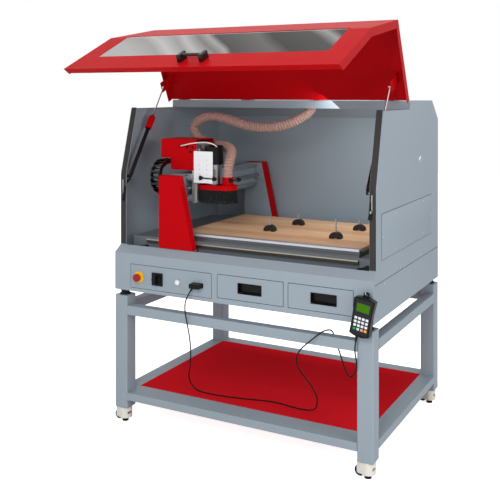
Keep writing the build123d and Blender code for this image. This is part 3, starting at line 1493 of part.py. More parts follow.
cord_start = relief_plane.origin - pendant.y_dir * relief_length
cord_turn = cord_start - pendant.y_dir * 40
cord_route = [(cord_start.X, pendant_y, cord_start.Z), (cord_turn.X, pendant_y, cord_turn.Z), (663, -22, 548),
              (655, -8, 505), (628, 12, 462), (600, 32, 458), (576, 50, 482), (550, 72, 524), (524, 86, 574),
              (512, 84, 612), (506, 62, 655), (484, 14, 658), (462, -22, 640), (432, -34, 612),
              (398, -40, 582), (366, -40, 540), (366, -32, 486), (393, -22, 443), (419, -5, 406),
              (432, 25, 360), (427, 70, 308), (401, 125, 255), (372, 180, 212), (336, 218, 184),
              (290, 226, 173), (213, 232, 172), (130, 250, 172), (45, 240, 172), (-43, 216, 172),
              (-131, 200, 172), (-220, 187, 172), (-300, 190, 172), (-346, 202, 174), (-378, 208, 196),
              (-386, 192, 238), (-360, 160, 284), (-330, 120, 325), (-308, 88, 370), (-288, 60, 411), (-274, 36, 450),
              (-262, 14, 490), (-252, -16, 556), (-256, -32, 620), (-262, -40, 678), (-257, -37.95, 728.9),
              plug_end]
save_group(tube(cord_route, cord_radius), "pendant_cord")
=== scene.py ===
import random
from math import cos, pi, radians, sin

import bmesh
import bpy
from mathutils import Matrix, Vector


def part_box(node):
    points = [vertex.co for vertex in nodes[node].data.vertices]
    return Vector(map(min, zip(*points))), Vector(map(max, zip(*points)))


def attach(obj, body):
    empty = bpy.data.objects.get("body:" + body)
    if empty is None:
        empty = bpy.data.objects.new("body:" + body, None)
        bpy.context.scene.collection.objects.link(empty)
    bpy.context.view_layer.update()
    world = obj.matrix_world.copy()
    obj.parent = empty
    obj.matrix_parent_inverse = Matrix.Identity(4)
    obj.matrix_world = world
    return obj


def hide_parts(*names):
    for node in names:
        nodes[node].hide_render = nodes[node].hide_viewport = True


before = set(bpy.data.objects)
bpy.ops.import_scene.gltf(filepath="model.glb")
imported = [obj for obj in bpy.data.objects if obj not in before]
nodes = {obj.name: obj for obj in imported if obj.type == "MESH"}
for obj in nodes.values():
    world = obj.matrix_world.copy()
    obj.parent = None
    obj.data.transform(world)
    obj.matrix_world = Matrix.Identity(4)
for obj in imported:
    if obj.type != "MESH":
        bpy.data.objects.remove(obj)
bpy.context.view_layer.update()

# The view: the machine stands on a white studio floor and is seen from its right front corner,
# a little above the table, through a long lens held level.
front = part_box("base_cabinet")[0].y
camera = bpy.data.objects.new("camera", bpy.data.cameras.new("camera"))
camera.data.lens = 57.8
camera.data.sensor_width = 36
camera.data.shift_y = -0.3156
camera.data.clip_end = 60
camera.location = (1.970, front - 3.498, 1.786)
camera.rotation_euler = (pi / 2, 0, radians(28.18))
bpy.context.scene.collection.objects.link(camera)
bpy.context.scene.camera = camera
bpy.context.scene.view_settings.view_transform = "Standard"


# The hand pendant's cord: a black rubber lead about 2.6 m long that leaves the pendant's foot,
# hooks over the stand's front rail, lies on the shelf and climbs to the plug in the panel.
def place(x, y, z):
    """A point given in millimetres from the middle of the cabinet's front, in the frame's metres."""
    return Vector((x / 1000, front + y / 1000, z / 1000))


def linear(red, green, blue):
    """A colour from a paint card, 0 to 255 for each part, in the numbers that a shader takes."""
    parts = [value / 255 for value in (red, green, blue)]
    return (*[p / 12.92 if p < 0.04045 else ((p + 0.055) / 1.055) ** 2.4 for p in parts], 1)


def shader(tree, kind, settings=None, **sockets):
    """A node in a tree, with its settings, and its sockets set or linked by their names."""
    made = tree.nodes.new("ShaderNode" + kind)
    for name, value in (settings or {}).items():
        setattr(made, name, value)
    for name, value in sockets.items():
        socket = made.inputs[int(name[1:]) if name[1:].isdigit() else name.replace("_", " ")]
        if isinstance(value, bpy.types.NodeSocket):
            tree.links.new(value, socket)
        else:
            socket.default_value = value
    return made


def effect(name, inputs, outputs):
    """An empty shader group with its named sockets, and the nodes at its two ends."""
    tree = bpy.data.node_groups.new(name, "ShaderNodeTree")
    for label, value in inputs.items():
        kind = "NodeSocketFloat" if isinstance(value, (int, float)) else "NodeSocketColor"
        tree.interface.new_socket(label, in_out="INPUT", socket_type=kind).default_value = value
    for label, kind in outputs.items():
        tree.interface.new_socket(label, in_out="OUTPUT", socket_type="NodeSocket" + kind)
    return tree, tree.nodes.new("NodeGroupInput").outputs, tree.nodes.new("NodeGroupOutput").inputs


def speckled(name):
    """A surface with a fine grain, a slow drift of tone and dull patches, as moulded or painted."""
    tree, given, out = effect(name, {"Colour": (0.5, 0.5, 0.5, 1), "Drift": 0.06, "Grain": 900.0,
                                     "Depth": 0.15, "Roughness": 0.4, "Patchiness": 0.08},
                              {"Color": "Color", "Roughness": "Float", "Normal": "Vector"})
    spot = shader(tree, "NewGeometry").outputs["Position"]
    slow = shader(tree, "TexNoise", Vector=spot, Scale=3.0, Detail=3.0).outputs["Fac"]
    fine = shader(tree, "TexNoise", Vector=spot, Scale=given["Grain"], Detail=2.0).outputs["Fac"]
    low = shader(tree, "Math", {"operation": "SUBTRACT"}, _0=1.0, _1=given["Drift"]).outputs[0]
    high = shader(tree, "Math", {"operation": "ADD"}, _0=1.0, _1=given["Drift"]).outputs[0]
    tone = shader(tree, "MapRange", Value=slow, To_Min=low, To_Max=high)
    shade = shader(tree, "HueSaturation", Color=given["Colour"], Value=tone.outputs[0])
    tree.links.new(shade.outputs[0], out["Color"])
    patch = shader(tree, "TexNoise", Vector=spot, Scale=9.0, Detail=4.0).outputs["Fac"]
    centred = shader(tree, "Math", {"operation": "SUBTRACT"}, _0=patch, _1=0.5).outputs[0]
    spread = shader(tree, "Math", {"operation": "MULTIPLY"}, _0=centred, _1=given["Patchiness"]).outputs[0]
    rough = shader(tree, "Math", {"operation": "ADD", "use_clamp": True}, _0=spread, _1=given["Roughness"])
    tree.links.new(rough.outputs[0], out["Roughness"])
    bump = shader(tree, "Bump", Strength=given["Depth"], Distance=0.0004, Height=fine)
    tree.links.new(bump.outputs[0], out["Normal"])
    return tree


grained = speckled("grained")


def finish(name, group, values, metallic=0.0, **shader_values):
    """A material whose colour, roughness and normal come from a group, set with its own values."""
    made = bpy.data.materials.new(name)
    made.use_nodes = True
    tree = made.node_tree
    surface = tree.nodes["Principled BSDF"]
    surface.inputs["Metallic"].default_value = metallic
    for label, value in shader_values.items():
        surface.inputs[label.replace("_", " ")].default_value = value
    source = tree.nodes.new("ShaderNodeGroup")
    source.node_tree = group
    for label, value in values.items():
        source.inputs[label].default_value = value
    for label, socket in (("Color", "Base Color"), ("Roughness", "Roughness"), ("Normal", "Normal")):
        tree.links.new(source.outputs[label], surface.inputs[socket])
    return made


def dress(material, *names):
    """Give CAD pieces their finish."""
    for name in names:
        nodes[name].data.materials.clear()
        nodes[name].data.materials.append(material)


cord_jacket = finish("cord_jacket", grained, {"Colour": linear(10, 10, 11), "Grain": 1500.0,
                                              "Roughness": 0.5}, Specular_IOR_Level=0.15)
cord_radius = 0.00325
relief_end = (660.94, -30, 643.79)
cord_points = [relief_end, (653.99, -30, 604.40), (663, -22, 548), (655, -8, 505), (628, 12, 462),
               (600, 32, 458), (576, 50, 482), (550, 72, 524), (524, 86, 574), (512, 84, 612),
               (506, 62, 655), (484, 14, 658), (462, -22, 640), (432, -34, 612), (398, -40, 582),
               (366, -40, 540), (366, -32, 486), (393, -22, 443), (419, -5, 406), (432, 25, 360),
               (427, 70, 308), (401, 125, 255), (372, 180, 212), (336, 218, 184), (290, 226, 173),
               (213, 232, 172), (130, 250, 172), (45, 240, 172), (-43, 216, 172), (-131, 200, 172),
               (-220, 187, 172), (-300, 190, 172), (-346, 202, 174), (-378, 208, 196), (-386, 192, 238),
               (-360, 160, 284), (-330, 120, 325), (-308, 88, 370), (-288, 60, 411), (-274, 36, 450),
               (-262, 14, 490), (-252, -16, 556), (-256, -32, 620), (-262, -40, 678), (-257, -37.95, 728.9),
               (-238, -27.5, 765)]


def route(name, points, radius=0.0):
    """A smooth line drawn on given points, round in section where it has a radius."""
    curve = bpy.data.curves.new(name, "CURVE")
    curve.dimensions = "3D"
    curve.bevel_depth = radius
    curve.bevel_resolution = 4
    curve.use_fill_caps = True
    spline = curve.splines.new("NURBS")
    spline.points.add(len(points) - 1)
    for point, (x, y, z) in zip(spline.points, points):
        point.co = (*place(x, y, z), 1)
    spline.order_u = 3
    spline.use_endpoint_u = True
    spline.resolution_u = 8
    made = bpy.data.objects.new(name, curve)
    bpy.context.scene.collection.objects.link(made)
    return made


cord = route("cord", cord_points, cord_radius)
cord.data.materials.append(cord_jacket)
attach(cord, "machine")
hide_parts("pendant_cord")

# The stand: square and flat steel tubes welded together and powder coated grey. The shelf is two
# folded sheet trays in gloss red, and rubber mounts sit between the legs and the cabinet.
grey_card = linear(146, 158, 168)
grey_coat = finish("grey_coat", grained, {"Colour": grey_card, "Drift": 0.03, "Grain": 700.0,
                                          "Depth": 0.10, "Roughness": 0.5}, Specular_IOR_Level=0.3)
red_card = linear(180, 5, 14)
red_coat = finish("red_coat", grained, {"Colour": red_card, "Drift": 0.03, "Grain": 700.0,
                                        "Depth": 0.08, "Roughness": 0.42}, Specular_IOR_Level=0.04)
black_rubber = finish("black_rubber", grained, {"Colour": linear(20, 20, 21), "Drift": 0.15,
                                                "Grain": 500.0, "Depth": 0.3, "Roughness": 0.7},
                      Specular_IOR_Level=0.3)
dress(grey_coat, "stand_frame")
shelf_red = finish("shelf_red", grained, {"Colour": linear(222, 30, 40), "Drift": 0.04, "Grain": 700.0,
                                          "Depth": 0.08, "Roughness": 0.5}, Specular_IOR_Level=0.0)
dress(shelf_red, "lower_shelf")
dress(black_rubber, "rubber_mounts")


# Levelling castors: a white enamelled alloy body on a king pin, with a nylon wheel to one side, a
# red dial in its window and a round rubber foot on a screw in the middle.
def mesh_piece(name, shape, material, body, smooth=None):
    """A piece made from a worked-out shape, riding on a body of the machine."""
    mesh = bpy.data.meshes.new(name)
    bmesh.ops.recalc_face_normals(shape, faces=shape.faces)
    shape.to_mesh(mesh)
    shape.free()
    made = bpy.data.objects.new(name, mesh)
    bpy.context.scene.collection.objects.link(made)
    made.data.materials.append(material)
    if smooth is not None:
        made.data.shade_smooth()
        for edge in made.data.edges:
            edge.use_edge_sharp = False
        made.data.set_sharp_from_angle(angle=radians(smooth))
    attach(made, body)
    return made


def same_solid(face, other, edge):
    """Whether two faces bound the same solid, also at an edge where two solids touch."""
    if face.normal.dot(other.normal) < -0.99:
        return False
    if len(edge.link_faces) == 2:
        return True
    middle = (edge.verts[0].co + edge.verts[1].co) / 2
    other_rise = (other.calc_center_median() - middle).dot(face.normal)
    this_rise = (face.calc_center_median() - middle).dot(other.normal)
    return other_rise * this_rise > 1e-9


def solids_of(node):
    """The separate solids of a CAD piece, each as a list of its faces' corner points."""
    shape = bmesh.new()
    shape.from_mesh(nodes[node].data)
    shape.transform(nodes[node].matrix_world)
    bmesh.ops.remove_doubles(shape, verts=shape.verts, dist=1e-6)
    shape.normal_update()
    unseen = set(shape.faces)
    solids = []
    for start in shape.faces:
        if start not in unseen:
            continue
        unseen.discard(start)
        reached = [start]
        for face in reached:
            for edge in face.edges:
                for other in edge.link_faces:
                    if other in unseen and same_solid(face, other, edge):
                        unseen.discard(other)
                        reached.append(other)
        solids.append([[corner.co.copy() for corner in face.verts] for face in reached])
    shape.free()
    return solids


def middle_of(solid):
    """The middle of the box round a solid."""
    low = [min(corner[axis] for face in solid for corner in face) for axis in range(3)]
    high = [max(corner[axis] for face in solid for corner in face) for axis in range(3)]
    return (Vector(low) + Vector(high)) / 2


def recoloured(name, node, solids, material, body):
    """Some solids of a CAD piece as a piece of their own, in their own finish."""
    shape = bmesh.new()
    for solid in solids:
        for face in solid:
            shape.faces.new([shape.verts.new(corner) for corner in face])
    bmesh.ops.remove_doubles(shape, verts=shape.verts, dist=1e-6)
    made = mesh_piece(name, shape, material, body, smooth=30)
    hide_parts(node)
    return made


white_enamel = finish("white_enamel", grained, {"Colour": linear(222, 219, 210), "Drift": 0.03,
                                                "Grain": 500.0, "Depth": 0.15, "Roughness": 0.35})
dial_red = finish("dial_red", grained, {"Colour": linear(190, 18, 28), "Grain": 900.0, "Roughness": 0.4})
for corner in ("front_left", "front_right", "back_left", "back_right"):
    castor = "castor_" + corner
    solids = sorted(solids_of(castor), key=lambda solid: middle_of(solid).z)
    sizes = [max(c.x for f in s for c in f) - min(c.x for f in s for c in f) for s in solids]
    body_solid = solids[sizes.index(max(sizes))]
    foot_solid = min((s for s in solids if s is not body_solid), key=lambda s: middle_of(s).z)
    dials = [s for s in solids if s is not body_solid and s is not foot_solid]
    recoloured(castor + "_body", castor, [body_solid], white_enamel, castor)
    recoloured(castor + "_foot", castor, [foot_solid], black_rubber, castor)
    recoloured(castor + "_dial", castor, dials, dial_red, castor)
    dress(black_rubber, "castor_wheel_" + corner)

# The cabinet's base: folded sheet, powder coated grey, with a sloped shoulder under the opening.
# Two drawers and a control panel are let into its front.
dress(grey_coat, "base_cabinet", "drawer_left", "drawer_right", "control_panel")
black_plastic = finish("black_plastic", grained, {"Colour": linear(9, 9, 10), "Drift": 0.1,
                                                  "Grain": 1200.0, "Depth": 0.2, "Roughness": 0.38},
                       Specular_IOR_Level=0.25)
stop_red = finish("stop_red", grained, {"Colour": linear(150, 14, 20), "Drift": 0.05,
                                        "Grain": 1000.0, "Roughness": 0.3})
stop_yellow = finish("stop_yellow", grained, {"Colour": linear(246, 186, 12), "Drift": 0.03,
                                              "Grain": 1000.0, "Roughness": 0.35})
white_plastic = finish("white_plastic", grained, {"Colour": linear(228, 230, 232), "Drift": 0.02,
                                                  "Grain": 1000.0, "Roughness": 0.35})
dress(black_plastic, "switch_knob", "pendant_case", "pendant_plug")
dress(stop_red, "estop_button")
dress(white_plastic, "start_button")


def machined(name):
    """Bare metal with fine straight machining lines along one direction."""
    tree, given, out = effect(name, {"Colour": (0.6, 0.6, 0.6, 1), "Along X": 1.0, "Along Y": 60.0,
                                     "Along Z": 60.0, "Depth": 0.2, "Roughness": 0.3},
                              {"Color": "Color", "Roughness": "Float", "Normal": "Vector"})
    spot = shader(tree, "NewGeometry").outputs["Position"]
    scale = shader(tree, "CombineXYZ", X=given["Along X"], Y=given["Along Y"], Z=given["Along Z"])
    drawn = shader(tree, "VectorMath", {"operation": "MULTIPLY"}, _0=spot, _1=scale.outputs[0]).outputs[0]
    lines = shader(tree, "TexNoise", Vector=drawn, Scale=20.0, Detail=4.0).outputs["Fac"]
    tone = shader(tree, "MapRange", Value=lines, To_Min=0.82, To_Max=1.15).outputs[0]
    shade = shader(tree, "HueSaturation", Color=given["Colour"], Value=tone)
    tree.links.new(shade.outputs[0], out["Color"])
    rough = shader(tree, "Math", {"operation": "MULTIPLY"}, _0=tone, _1=given["Roughness"])
    tree.links.new(rough.outputs[0], out["Roughness"])
    bump = shader(tree, "Bump", Strength=given["Depth"], Distance=0.0002, Height=lines)
    tree.links.new(bump.outputs[0], out["Normal"])
    return tree


ruled = machined("ruled")
ground_steel = finish("ground_steel", ruled, {"Colour": linear(186, 188, 190), "Roughness": 0.28},
                      metallic=1.0)
turned_steel = finish("turned_steel", ruled, {"Colour": linear(176, 178, 180), "Along X": 60.0,
                                              "Along Y": 60.0, "Along Z": 4.0, "Roughness": 0.3},
                      metallic=1.0)
zinc = finish("zinc", ruled, {"Colour": linear(196, 198, 200), "Roughness": 0.35}, metallic=0.9)
fittings = sorted(solids_of("panel_fittings"), key=lambda solid: middle_of(solid).x)
recoloured("stop_ring", "panel_fittings", [fittings[0]], stop_yellow, "machine")
recoloured("switch_plate", "panel_fittings", [fittings[1]], black_plastic, "machine")
recoloured("button_bezel", "panel_fittings", [fittings[2]], zinc, "machine")
recoloured("data_socket", "panel_fittings", [fittings[3]], black_plastic, "machine")


# Black plastic cups of the drawer pulls, moulded with a rolled edge and pressed into the fronts.
def block(shape, low, high):
    """Add a plain block between two corners to a shape that is being made."""
    made = bmesh.ops.create_cube(shape, size=1)["verts"]
    low, high = Vector(low), Vector(high)
    for vertex in made:
        vertex.co = Vector([(low[k] + high[k]) / 2 + vertex.co[k] * (high[k] - low[k]) for k in range(3)])
    return made


def soften(shape, width, segments=2):
    """Round every edge of a shape."""
    bmesh.ops.bevel(shape, geom=shape.edges[:], offset=width, segments=segments, affect="EDGES",
                    profile=0.5, clamp_overlap=True)


pull_wall = 0.003
pull_half = 0.0655
pull_high = 0.0255
for drawer, centre in (("drawer_left", 93), ("drawer_right", 489)):
    low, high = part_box(drawer)
    middle = Vector((centre / 1000, low.y, (749 + 866) / 2000 + 0.0015))
    cup = bmesh.new()
    back = low.y + 0.0135
    block(cup, (middle.x - pull_half, back, middle.z - pull_high), (middle.x + pull_half, back + 0.0015,
                                                                    middle.z + pull_high))
    for side in (-1, 1):
        block(cup, (middle.x + side * pull_half - pull_wall / 2, low.y - 0.002, middle.z - pull_high),
              (middle.x + side * pull_half + pull_wall / 2, back, middle.z + pull_high))
        block(cup, (middle.x - pull_half, low.y - 0.002, middle.z + side * pull_high - pull_wall / 2),
              (middle.x + pull_half, back, middle.z + side * pull_high + pull_wall / 2))
    soften(cup, 0.0006)
    mesh_piece(drawer + "_cup", cup, black_plastic, drawer, smooth=40)

# Thin black strips round the panel and the drawer fronts: painted shade that stands for the shadow in their
# gaps.
painted_gap_shade = bmesh.new()
for fitted in ("control_panel", "drawer_left", "drawer_right"):
    low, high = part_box(fitted)
    for x0, x1, z0, z1 in ((low.x, high.x, high.z, high.z + 0.0022), (low.x, high.x, low.z - 0.0018, low.z),
                           (high.x, high.x + 0.0018, low.z, high.z), (low.x - 0.0012, low.x, low.z, high.z)):
        block(painted_gap_shade, (x0, front - 0.0003, z0), (x1, front + 0.001, z1))
mesh_piece("painted_gap_shadows", painted_gap_shade, black_rubber, "machine")

# The pendant's face: a green display in a raised frame over four rows of soft keys.
tilt = radians(10)
pendant_place = Matrix.Translation(place(696, -30, 762)) @ Matrix((
    (cos(tilt), sin(tilt), 0, 0), (0, 0, -1, 0), (-sin(tilt), cos(tilt), 0, 0), (0, 0, 0, 1)))
pendant_front = 0.016


def on_pendant(name, parts, material, softness):
    """Blocks on the pendant's face, given from its middle in its own plane, in millimetres."""
    shape = bmesh.new()
    for (x0, x1), (y0, y1), (z0, z1) in parts:
        block(shape, (x0 / 1000, y0 / 1000, pendant_front + z0 / 1000),
              (x1 / 1000, y1 / 1000, pendant_front + z1 / 1000))
    if softness:
        soften(shape, softness)
    shape.transform(pendant_place)
    made = mesh_piece(name, shape, material, "machine", smooth=40)
    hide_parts("pendant_face")


key_white = finish("key_white", grained, {"Colour": linear(226, 232, 236), "Grain": 900.0,
                                          "Roughness": 0.45})
key_green = finish("key_green", grained, {"Colour": linear(20, 140, 80), "Grain": 900.0,
                                          "Roughness": 0.45})
key_yellow = finish("key_yellow", grained, {"Colour": linear(240, 176, 30), "Grain": 900.0,
                                            "Roughness": 0.45})
key_pink = finish("key_pink", grained, {"Colour": linear(226, 150, 170), "Grain": 900.0,
                                        "Roughness": 0.45})
key_mint = finish("key_mint", grained, {"Colour": linear(176, 226, 205), "Grain": 900.0,
                                        "Roughness": 0.45})
display = finish("display", grained, {"Colour": linear(62, 112, 10), "Drift": 0.02, "Depth": 0.0,
                                      "Roughness": 0.4}, Specular_IOR_Level=0.1)
face_black = finish("face_black", grained, {"Colour": linear(30, 28, 34), "Grain": 1400.0, "Roughness": 0.5},
                    Specular_IOR_Level=0.3)
on_pendant("pendant_faceplate", [((-40, 40), (-80.5, 80.5), (0, 1.2)), ((-36, 36), (20, 68), (1.0, 2.4))],
           face_black, 0.0005)
on_pendant("pendant_display", [((-31, 31), (25, 63), (2.0, 2.6))], display, 0)
key_rows = {"white": [], "green": [], "mint": [], "pink": [], "yellow": []}
for row in range(4):
    for column in range(4):
        x = (column - 1.5) * 18
        y = -31 + (1.5 - row) * 17
        colour = "white" if row < 3 else ("green", "mint", "pink", "yellow")[column]
        key_rows[colour].append(((x - 6.5, x + 6.5), (y - 5.5, y + 5.5), (1.0, 3.0)))
for colour, material in (("white", key_white), ("green", key_green), ("mint", key_mint),
                         ("pink", key_pink), ("yellow", key_yellow)):
    on_pendant("keys_" + colour, key_rows[colour], material, 0.0009)

# The enclosure: sides, roof and back of folded sheet in the same grey, with foam seals round the
# opening that the hood closes on.
dress(grey_coat, "enclosure_sides", "enclosure_roof")
seal_foam = finish("seal_foam", grained, {"Colour": linear(58, 56, 55), "Drift": 0.1, "Grain": 400.0,
                                          "Depth": 0.5, "Roughness": 0.8}, Specular_IOR_Level=0.2)
dress(seal_foam, "edge_seals")


# Cover plates screwed over the service openings in both sides: thin grey sheet held by plated pan-head
# screws. A thin dark strip just round each plate, and another along the seam where the sides stand on the
# base, are painted shade standing for the shadow in these gaps.
def screw_head(shape, spot, toward, radius, height):
    """Add a low domed screw head that stands on a face."""
    toward = Vector(toward).normalized()
    turn = toward.to_track_quat("Z", "Y").to_matrix().to_4x4()
    bmesh.ops.create_cone(shape, cap_ends=True, segments=16, radius1=radius, radius2=0.65 * radius,
                          depth=height, matrix=Matrix.Translation(Vector(spot) + toward * height / 2) @ turn)


side_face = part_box("enclosure_sides")[1].x
shade_strip_proud = 0.0006
plate_proud = 0.0018
cover_y = (0.116, 0.964)
cover_z = (0.996, 1.212)
side_screws = ((328, 1189), (805, 1193), (128, 1102), (952, 1102), (328, 1015), (805, 1017),
               (395, 911), (746, 908), (1010, 880), (155, 880))
for side, hand in ((-1, "left"), (1, "right")):
    seam_shade = bmesh.new()
    for y0, y1, z0, z1 in ((114, 966, 994, 1214), (24, 1106, 894, 896)):
        block(seam_shade, (side * side_face, front + y0 / 1000, z0 / 1000),
              (side * (side_face + shade_strip_proud), front + y1 / 1000, z1 / 1000))
    mesh_piece("painted_seam_shadows_" + hand, seam_shade, seal_foam, "machine")
    plate = bmesh.new()
    block(plate, (side * side_face, front + cover_y[0], cover_z[0]),
          (side * (side_face + plate_proud), front + cover_y[1], cover_z[1]))
    soften(plate, 0.0008)
    mesh_piece("side_cover_" + hand, plate, grey_coat, "machine", smooth=40)
    screws = bmesh.new()
    for y, z in side_screws:
        seat = (side * (side_face + 0.0008), front + y / 1000, z / 1000)
        screw_head(screws, seat, (side, 0, 0), 0.0055, 0.003)
    mesh_piece("side_screws_" + hand, screws, zinc, "machine", smooth=40)

# The bed: a thick steel channel carrying ground rails and an aluminium table with wooden slats.
dark_coat = finish("dark_coat", grained, {"Colour": linear(104, 112, 118), "Drift": 0.05, "Grain": 700.0,
                                          "Roughness": 0.5}, Specular_IOR_Level=0.3)
anodised = finish("anodised", ruled, {"Colour": linear(196, 198, 200), "Roughness": 0.35}, metallic=0.8)
dress(dark_coat, "machine_bed")
dress(anodised, "z_slide_plate", "carriage_plate")
dress(ground_steel, "x_screw", "hinge_brackets", "gantry_guides")
dress(zinc, "pendant_hook")
dress(turned_steel, "y_screw", "z_screw", "spindle_shaft")


def lit_top_shaded_below(name):
    """Machined metal painted brighter above a height and darker below it: painted light on the top and
    painted shade under it.
    """
    tree, given, out = effect(name, {"Bright": (0.8, 0.8, 0.8, 1), "Dull": (0.2, 0.2, 0.2, 1),
                                     "Level": 1.0, "Roughness": 0.35},
                              {"Color": "Color", "Roughness": "Float", "Normal": "Vector"})
    spot = shader(tree, "NewGeometry").outputs["Position"]
    split = shader(tree, "SeparateXYZ", Vector=spot).outputs
    above = shader(tree, "Math", {"operation": "GREATER_THAN"}, _0=split["Z"], _1=given["Level"]).outputs[0]
    drawn = shader(tree, "VectorMath", {"operation": "MULTIPLY"}, _0=spot, _1=(1.0, 60.0, 60.0)).outputs[0]
    lines = shader(tree, "TexNoise", Vector=drawn, Scale=14.0, Detail=4.0).outputs["Fac"]
    mixed = shader(tree, "Mix", {"data_type": "RGBA"}, _0=above, _6=given["Dull"], _7=given["Bright"])
    tone = shader(tree, "MapRange", Value=lines, To_Min=0.7, To_Max=1.3).outputs[0]
    shade = shader(tree, "HueSaturation", Color=mixed.outputs[2], Value=tone)
    tree.links.new(shade.outputs[0], out["Color"])
    rough = shader(tree, "Math", {"operation": "MULTIPLY"}, _0=tone, _1=given["Roughness"])
    tree.links.new(rough.outputs[0], out["Roughness"])
    bump = shader(tree, "Bump", Strength=0.2, Distance=0.0002, Height=lines)
    tree.links.new(bump.outputs[0], out["Normal"])
    return tree


# The table frame and the rails get painted light on their tops and painted shade below a set height.
painted_top_light = lit_top_shaded_below("painted_top_light")
table_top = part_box("table_frame")[1].z
table_metal = finish("table_metal", painted_top_light, {"Bright": linear(214, 216, 220), "Dull": linear(96, 100, 104),
                                              "Level": table_top - 0.011, "Roughness": 0.4}, metallic=0.6)
rail_metal = finish("rail_metal", painted_top_light, {"Bright": linear(190, 186, 176), "Dull": linear(76, 72, 66),
                                            "Level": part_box("x_rails")[1].z - 0.006, "Roughness": 0.35},
                    metallic=0.8)
dress(table_metal, "table_frame")
dress(rail_metal, "x_rails")


def slatted(name):
    """Beech planks laid side by side along X, each a little different, with a fine straight grain."""
    tree, given, out = effect(name, {"Light": (0.7, 0.5, 0.3, 1), "Dark": (0.4, 0.25, 0.13, 1),
                                     "Pitch": 0.086, "Start": 0.0, "Roughness": 0.5},
                              {"Color": "Color", "Roughness": "Float", "Normal": "Vector"})
    spot = shader(tree, "NewGeometry").outputs["Position"]
    split = shader(tree, "SeparateXYZ", Vector=spot).outputs
    from_start = shader(tree, "Math", {"operation": "SUBTRACT"}, _0=split["Y"], _1=given["Start"]).outputs[0]
    ratio = shader(tree, "Math", {"operation": "DIVIDE"}, _0=from_start, _1=given["Pitch"]).outputs[0]
    number = shader(tree, "Math", {"operation": "FLOOR"}, _0=ratio).outputs[0]
    chance = shader(tree, "TexWhiteNoise", {"noise_dimensions": "1D"}, W=number).outputs["Value"]
    shift = shader(tree, "CombineXYZ", X=0.0, Y=0.0, Z=number).outputs[0]
    stretched = shader(tree, "VectorMath", {"operation": "MULTIPLY"}, _0=spot,
                       _1=(2.5, 60.0, 60.0)).outputs[0]
    moved = shader(tree, "VectorMath", {"operation": "ADD"}, _0=stretched, _1=shift).outputs[0]
    grain = shader(tree, "TexNoise", Vector=moved, Scale=2.0, Detail=6.0, Roughness=0.65).outputs["Fac"]
    spread = shader(tree, "MapRange", Value=grain, From_Min=0.32, From_Max=0.68).outputs[0]
    lean = shader(tree, "Math", {"operation": "MULTIPLY_ADD"}, _0=chance, _1=0.5, _2=-0.15).outputs[0]
    blend = shader(tree, "Math", {"operation": "MULTIPLY_ADD", "use_clamp": True}, _0=spread, _1=0.8,
                   _2=lean).outputs[0]
    mixed = shader(tree, "Mix", {"data_type": "RGBA"}, _0=blend, _6=given["Dark"], _7=given["Light"])
    tree.links.new(mixed.outputs[2], out["Color"])
    rough = shader(tree, "Math", {"operation": "MULTIPLY_ADD"}, _0=grain, _1=0.2, _2=given["Roughness"])
    tree.links.new(rough.outputs[0], out["Roughness"])
    bump = shader(tree, "Bump", Strength=0.25, Distance=0.0005, Height=grain)
    tree.links.new(bump.outputs[0], out["Normal"])
    return tree


slat_low, slat_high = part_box("table_slats")
beech = finish("beech", slatted("slatted"), {"Light": linear(240, 204, 164), "Dark": linear(196, 148, 106),
                                             "Pitch": (slat_high.y - slat_low.y) / 8,
                                             "Start": slat_low.y, "Roughness": 0.45}, Specular_IOR_Level=0.3)
dress(beech, "table_slats")

# Hold-down clamps: black cast arches, each pulled down by a plated stud and nut.
clamp_black = finish("clamp_black", grained, {"Colour": linear(14, 14, 15), "Grain": 600.0, "Depth": 0.4,
                                              "Roughness": 0.35})
clamp_solids = sorted(solids_of("hold_down_clamps"), key=len)
wide = [s for s in clamp_solids if max(c.x for f in s for c in f) - min(c.x for f in s for c in f) > 0.03]
recoloured("clamp_arches", "hold_down_clamps", wide, clamp_black, "machine")
recoloured("clamp_studs", "hold_down_clamps", [s for s in clamp_solids if s not in wide], zinc, "machine")

# Drives: black stepping motors and their brackets, and the chain that carries the cables.
dress(black_plastic, "x_drive", "y_drive", "z_motor")
chain_black = finish("chain_black", grained, {"Colour": linear(8, 8, 9), "Drift": 0.1, "Grain": 900.0,
                                              "Roughness": 0.25})
dress(chain_black, "cable_chain")

# The moving machine: folded red covers over grey steel plates and an aluminium beam.
dress(grey_coat, "gantry_frame")
dress(red_coat, "gantry_covers", "carriage_cover", "dust_shoe")
dress(white_plastic, "scale_plate")
spindle_solids = sorted(solids_of("spindle_body"), key=lambda solid: middle_of(solid).z)
recoloured("spindle_motor", "spindle_body", spindle_solids[:-1], turned_steel, "spindle_slide")
recoloured("spindle_cap", "spindle_body", spindle_solids[-1:], black_plastic, "spindle_slide")

# On the head: a thin white lead from a black plug on the cover to the spindle's cap, and black
# knurled clamping screws that hold the shoe's bracket on both sides.
lead_white = finish("lead_white", grained, {"Colour": linear(214, 214, 210), "Grain": 1200.0,
                                            "Roughness": 0.4})
lead_points = [(-437, 190, 1492), (-425, 176, 1494), (-390, 170, 1502), (-347, 172, 1511), (-300, 174, 1516),
               (-262, 180, 1517), (-236, 195, 1510), (-222, 218, 1494), (-226, 238, 1470), (-240, 248, 1440)]
spindle_lead = route("spindle_lead", lead_points, 0.0032)
spindle_lead.data.materials.append(lead_white)
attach(spindle_lead, "spindle_slide")
cover_fittings = bmesh.new()
for x, z in ((-437, 1492), (-395, 1487), (-360, 1487), (-372, 1462)):
    screw_head(cover_fittings, place(x, 188, z), (0, -1, 0), 0.007, 0.008)
mesh_piece("cover_fittings", cover_fittings, black_plastic, "carriage", smooth=40)
clamp_knobs = bmesh.new()
knob_width = 0.016
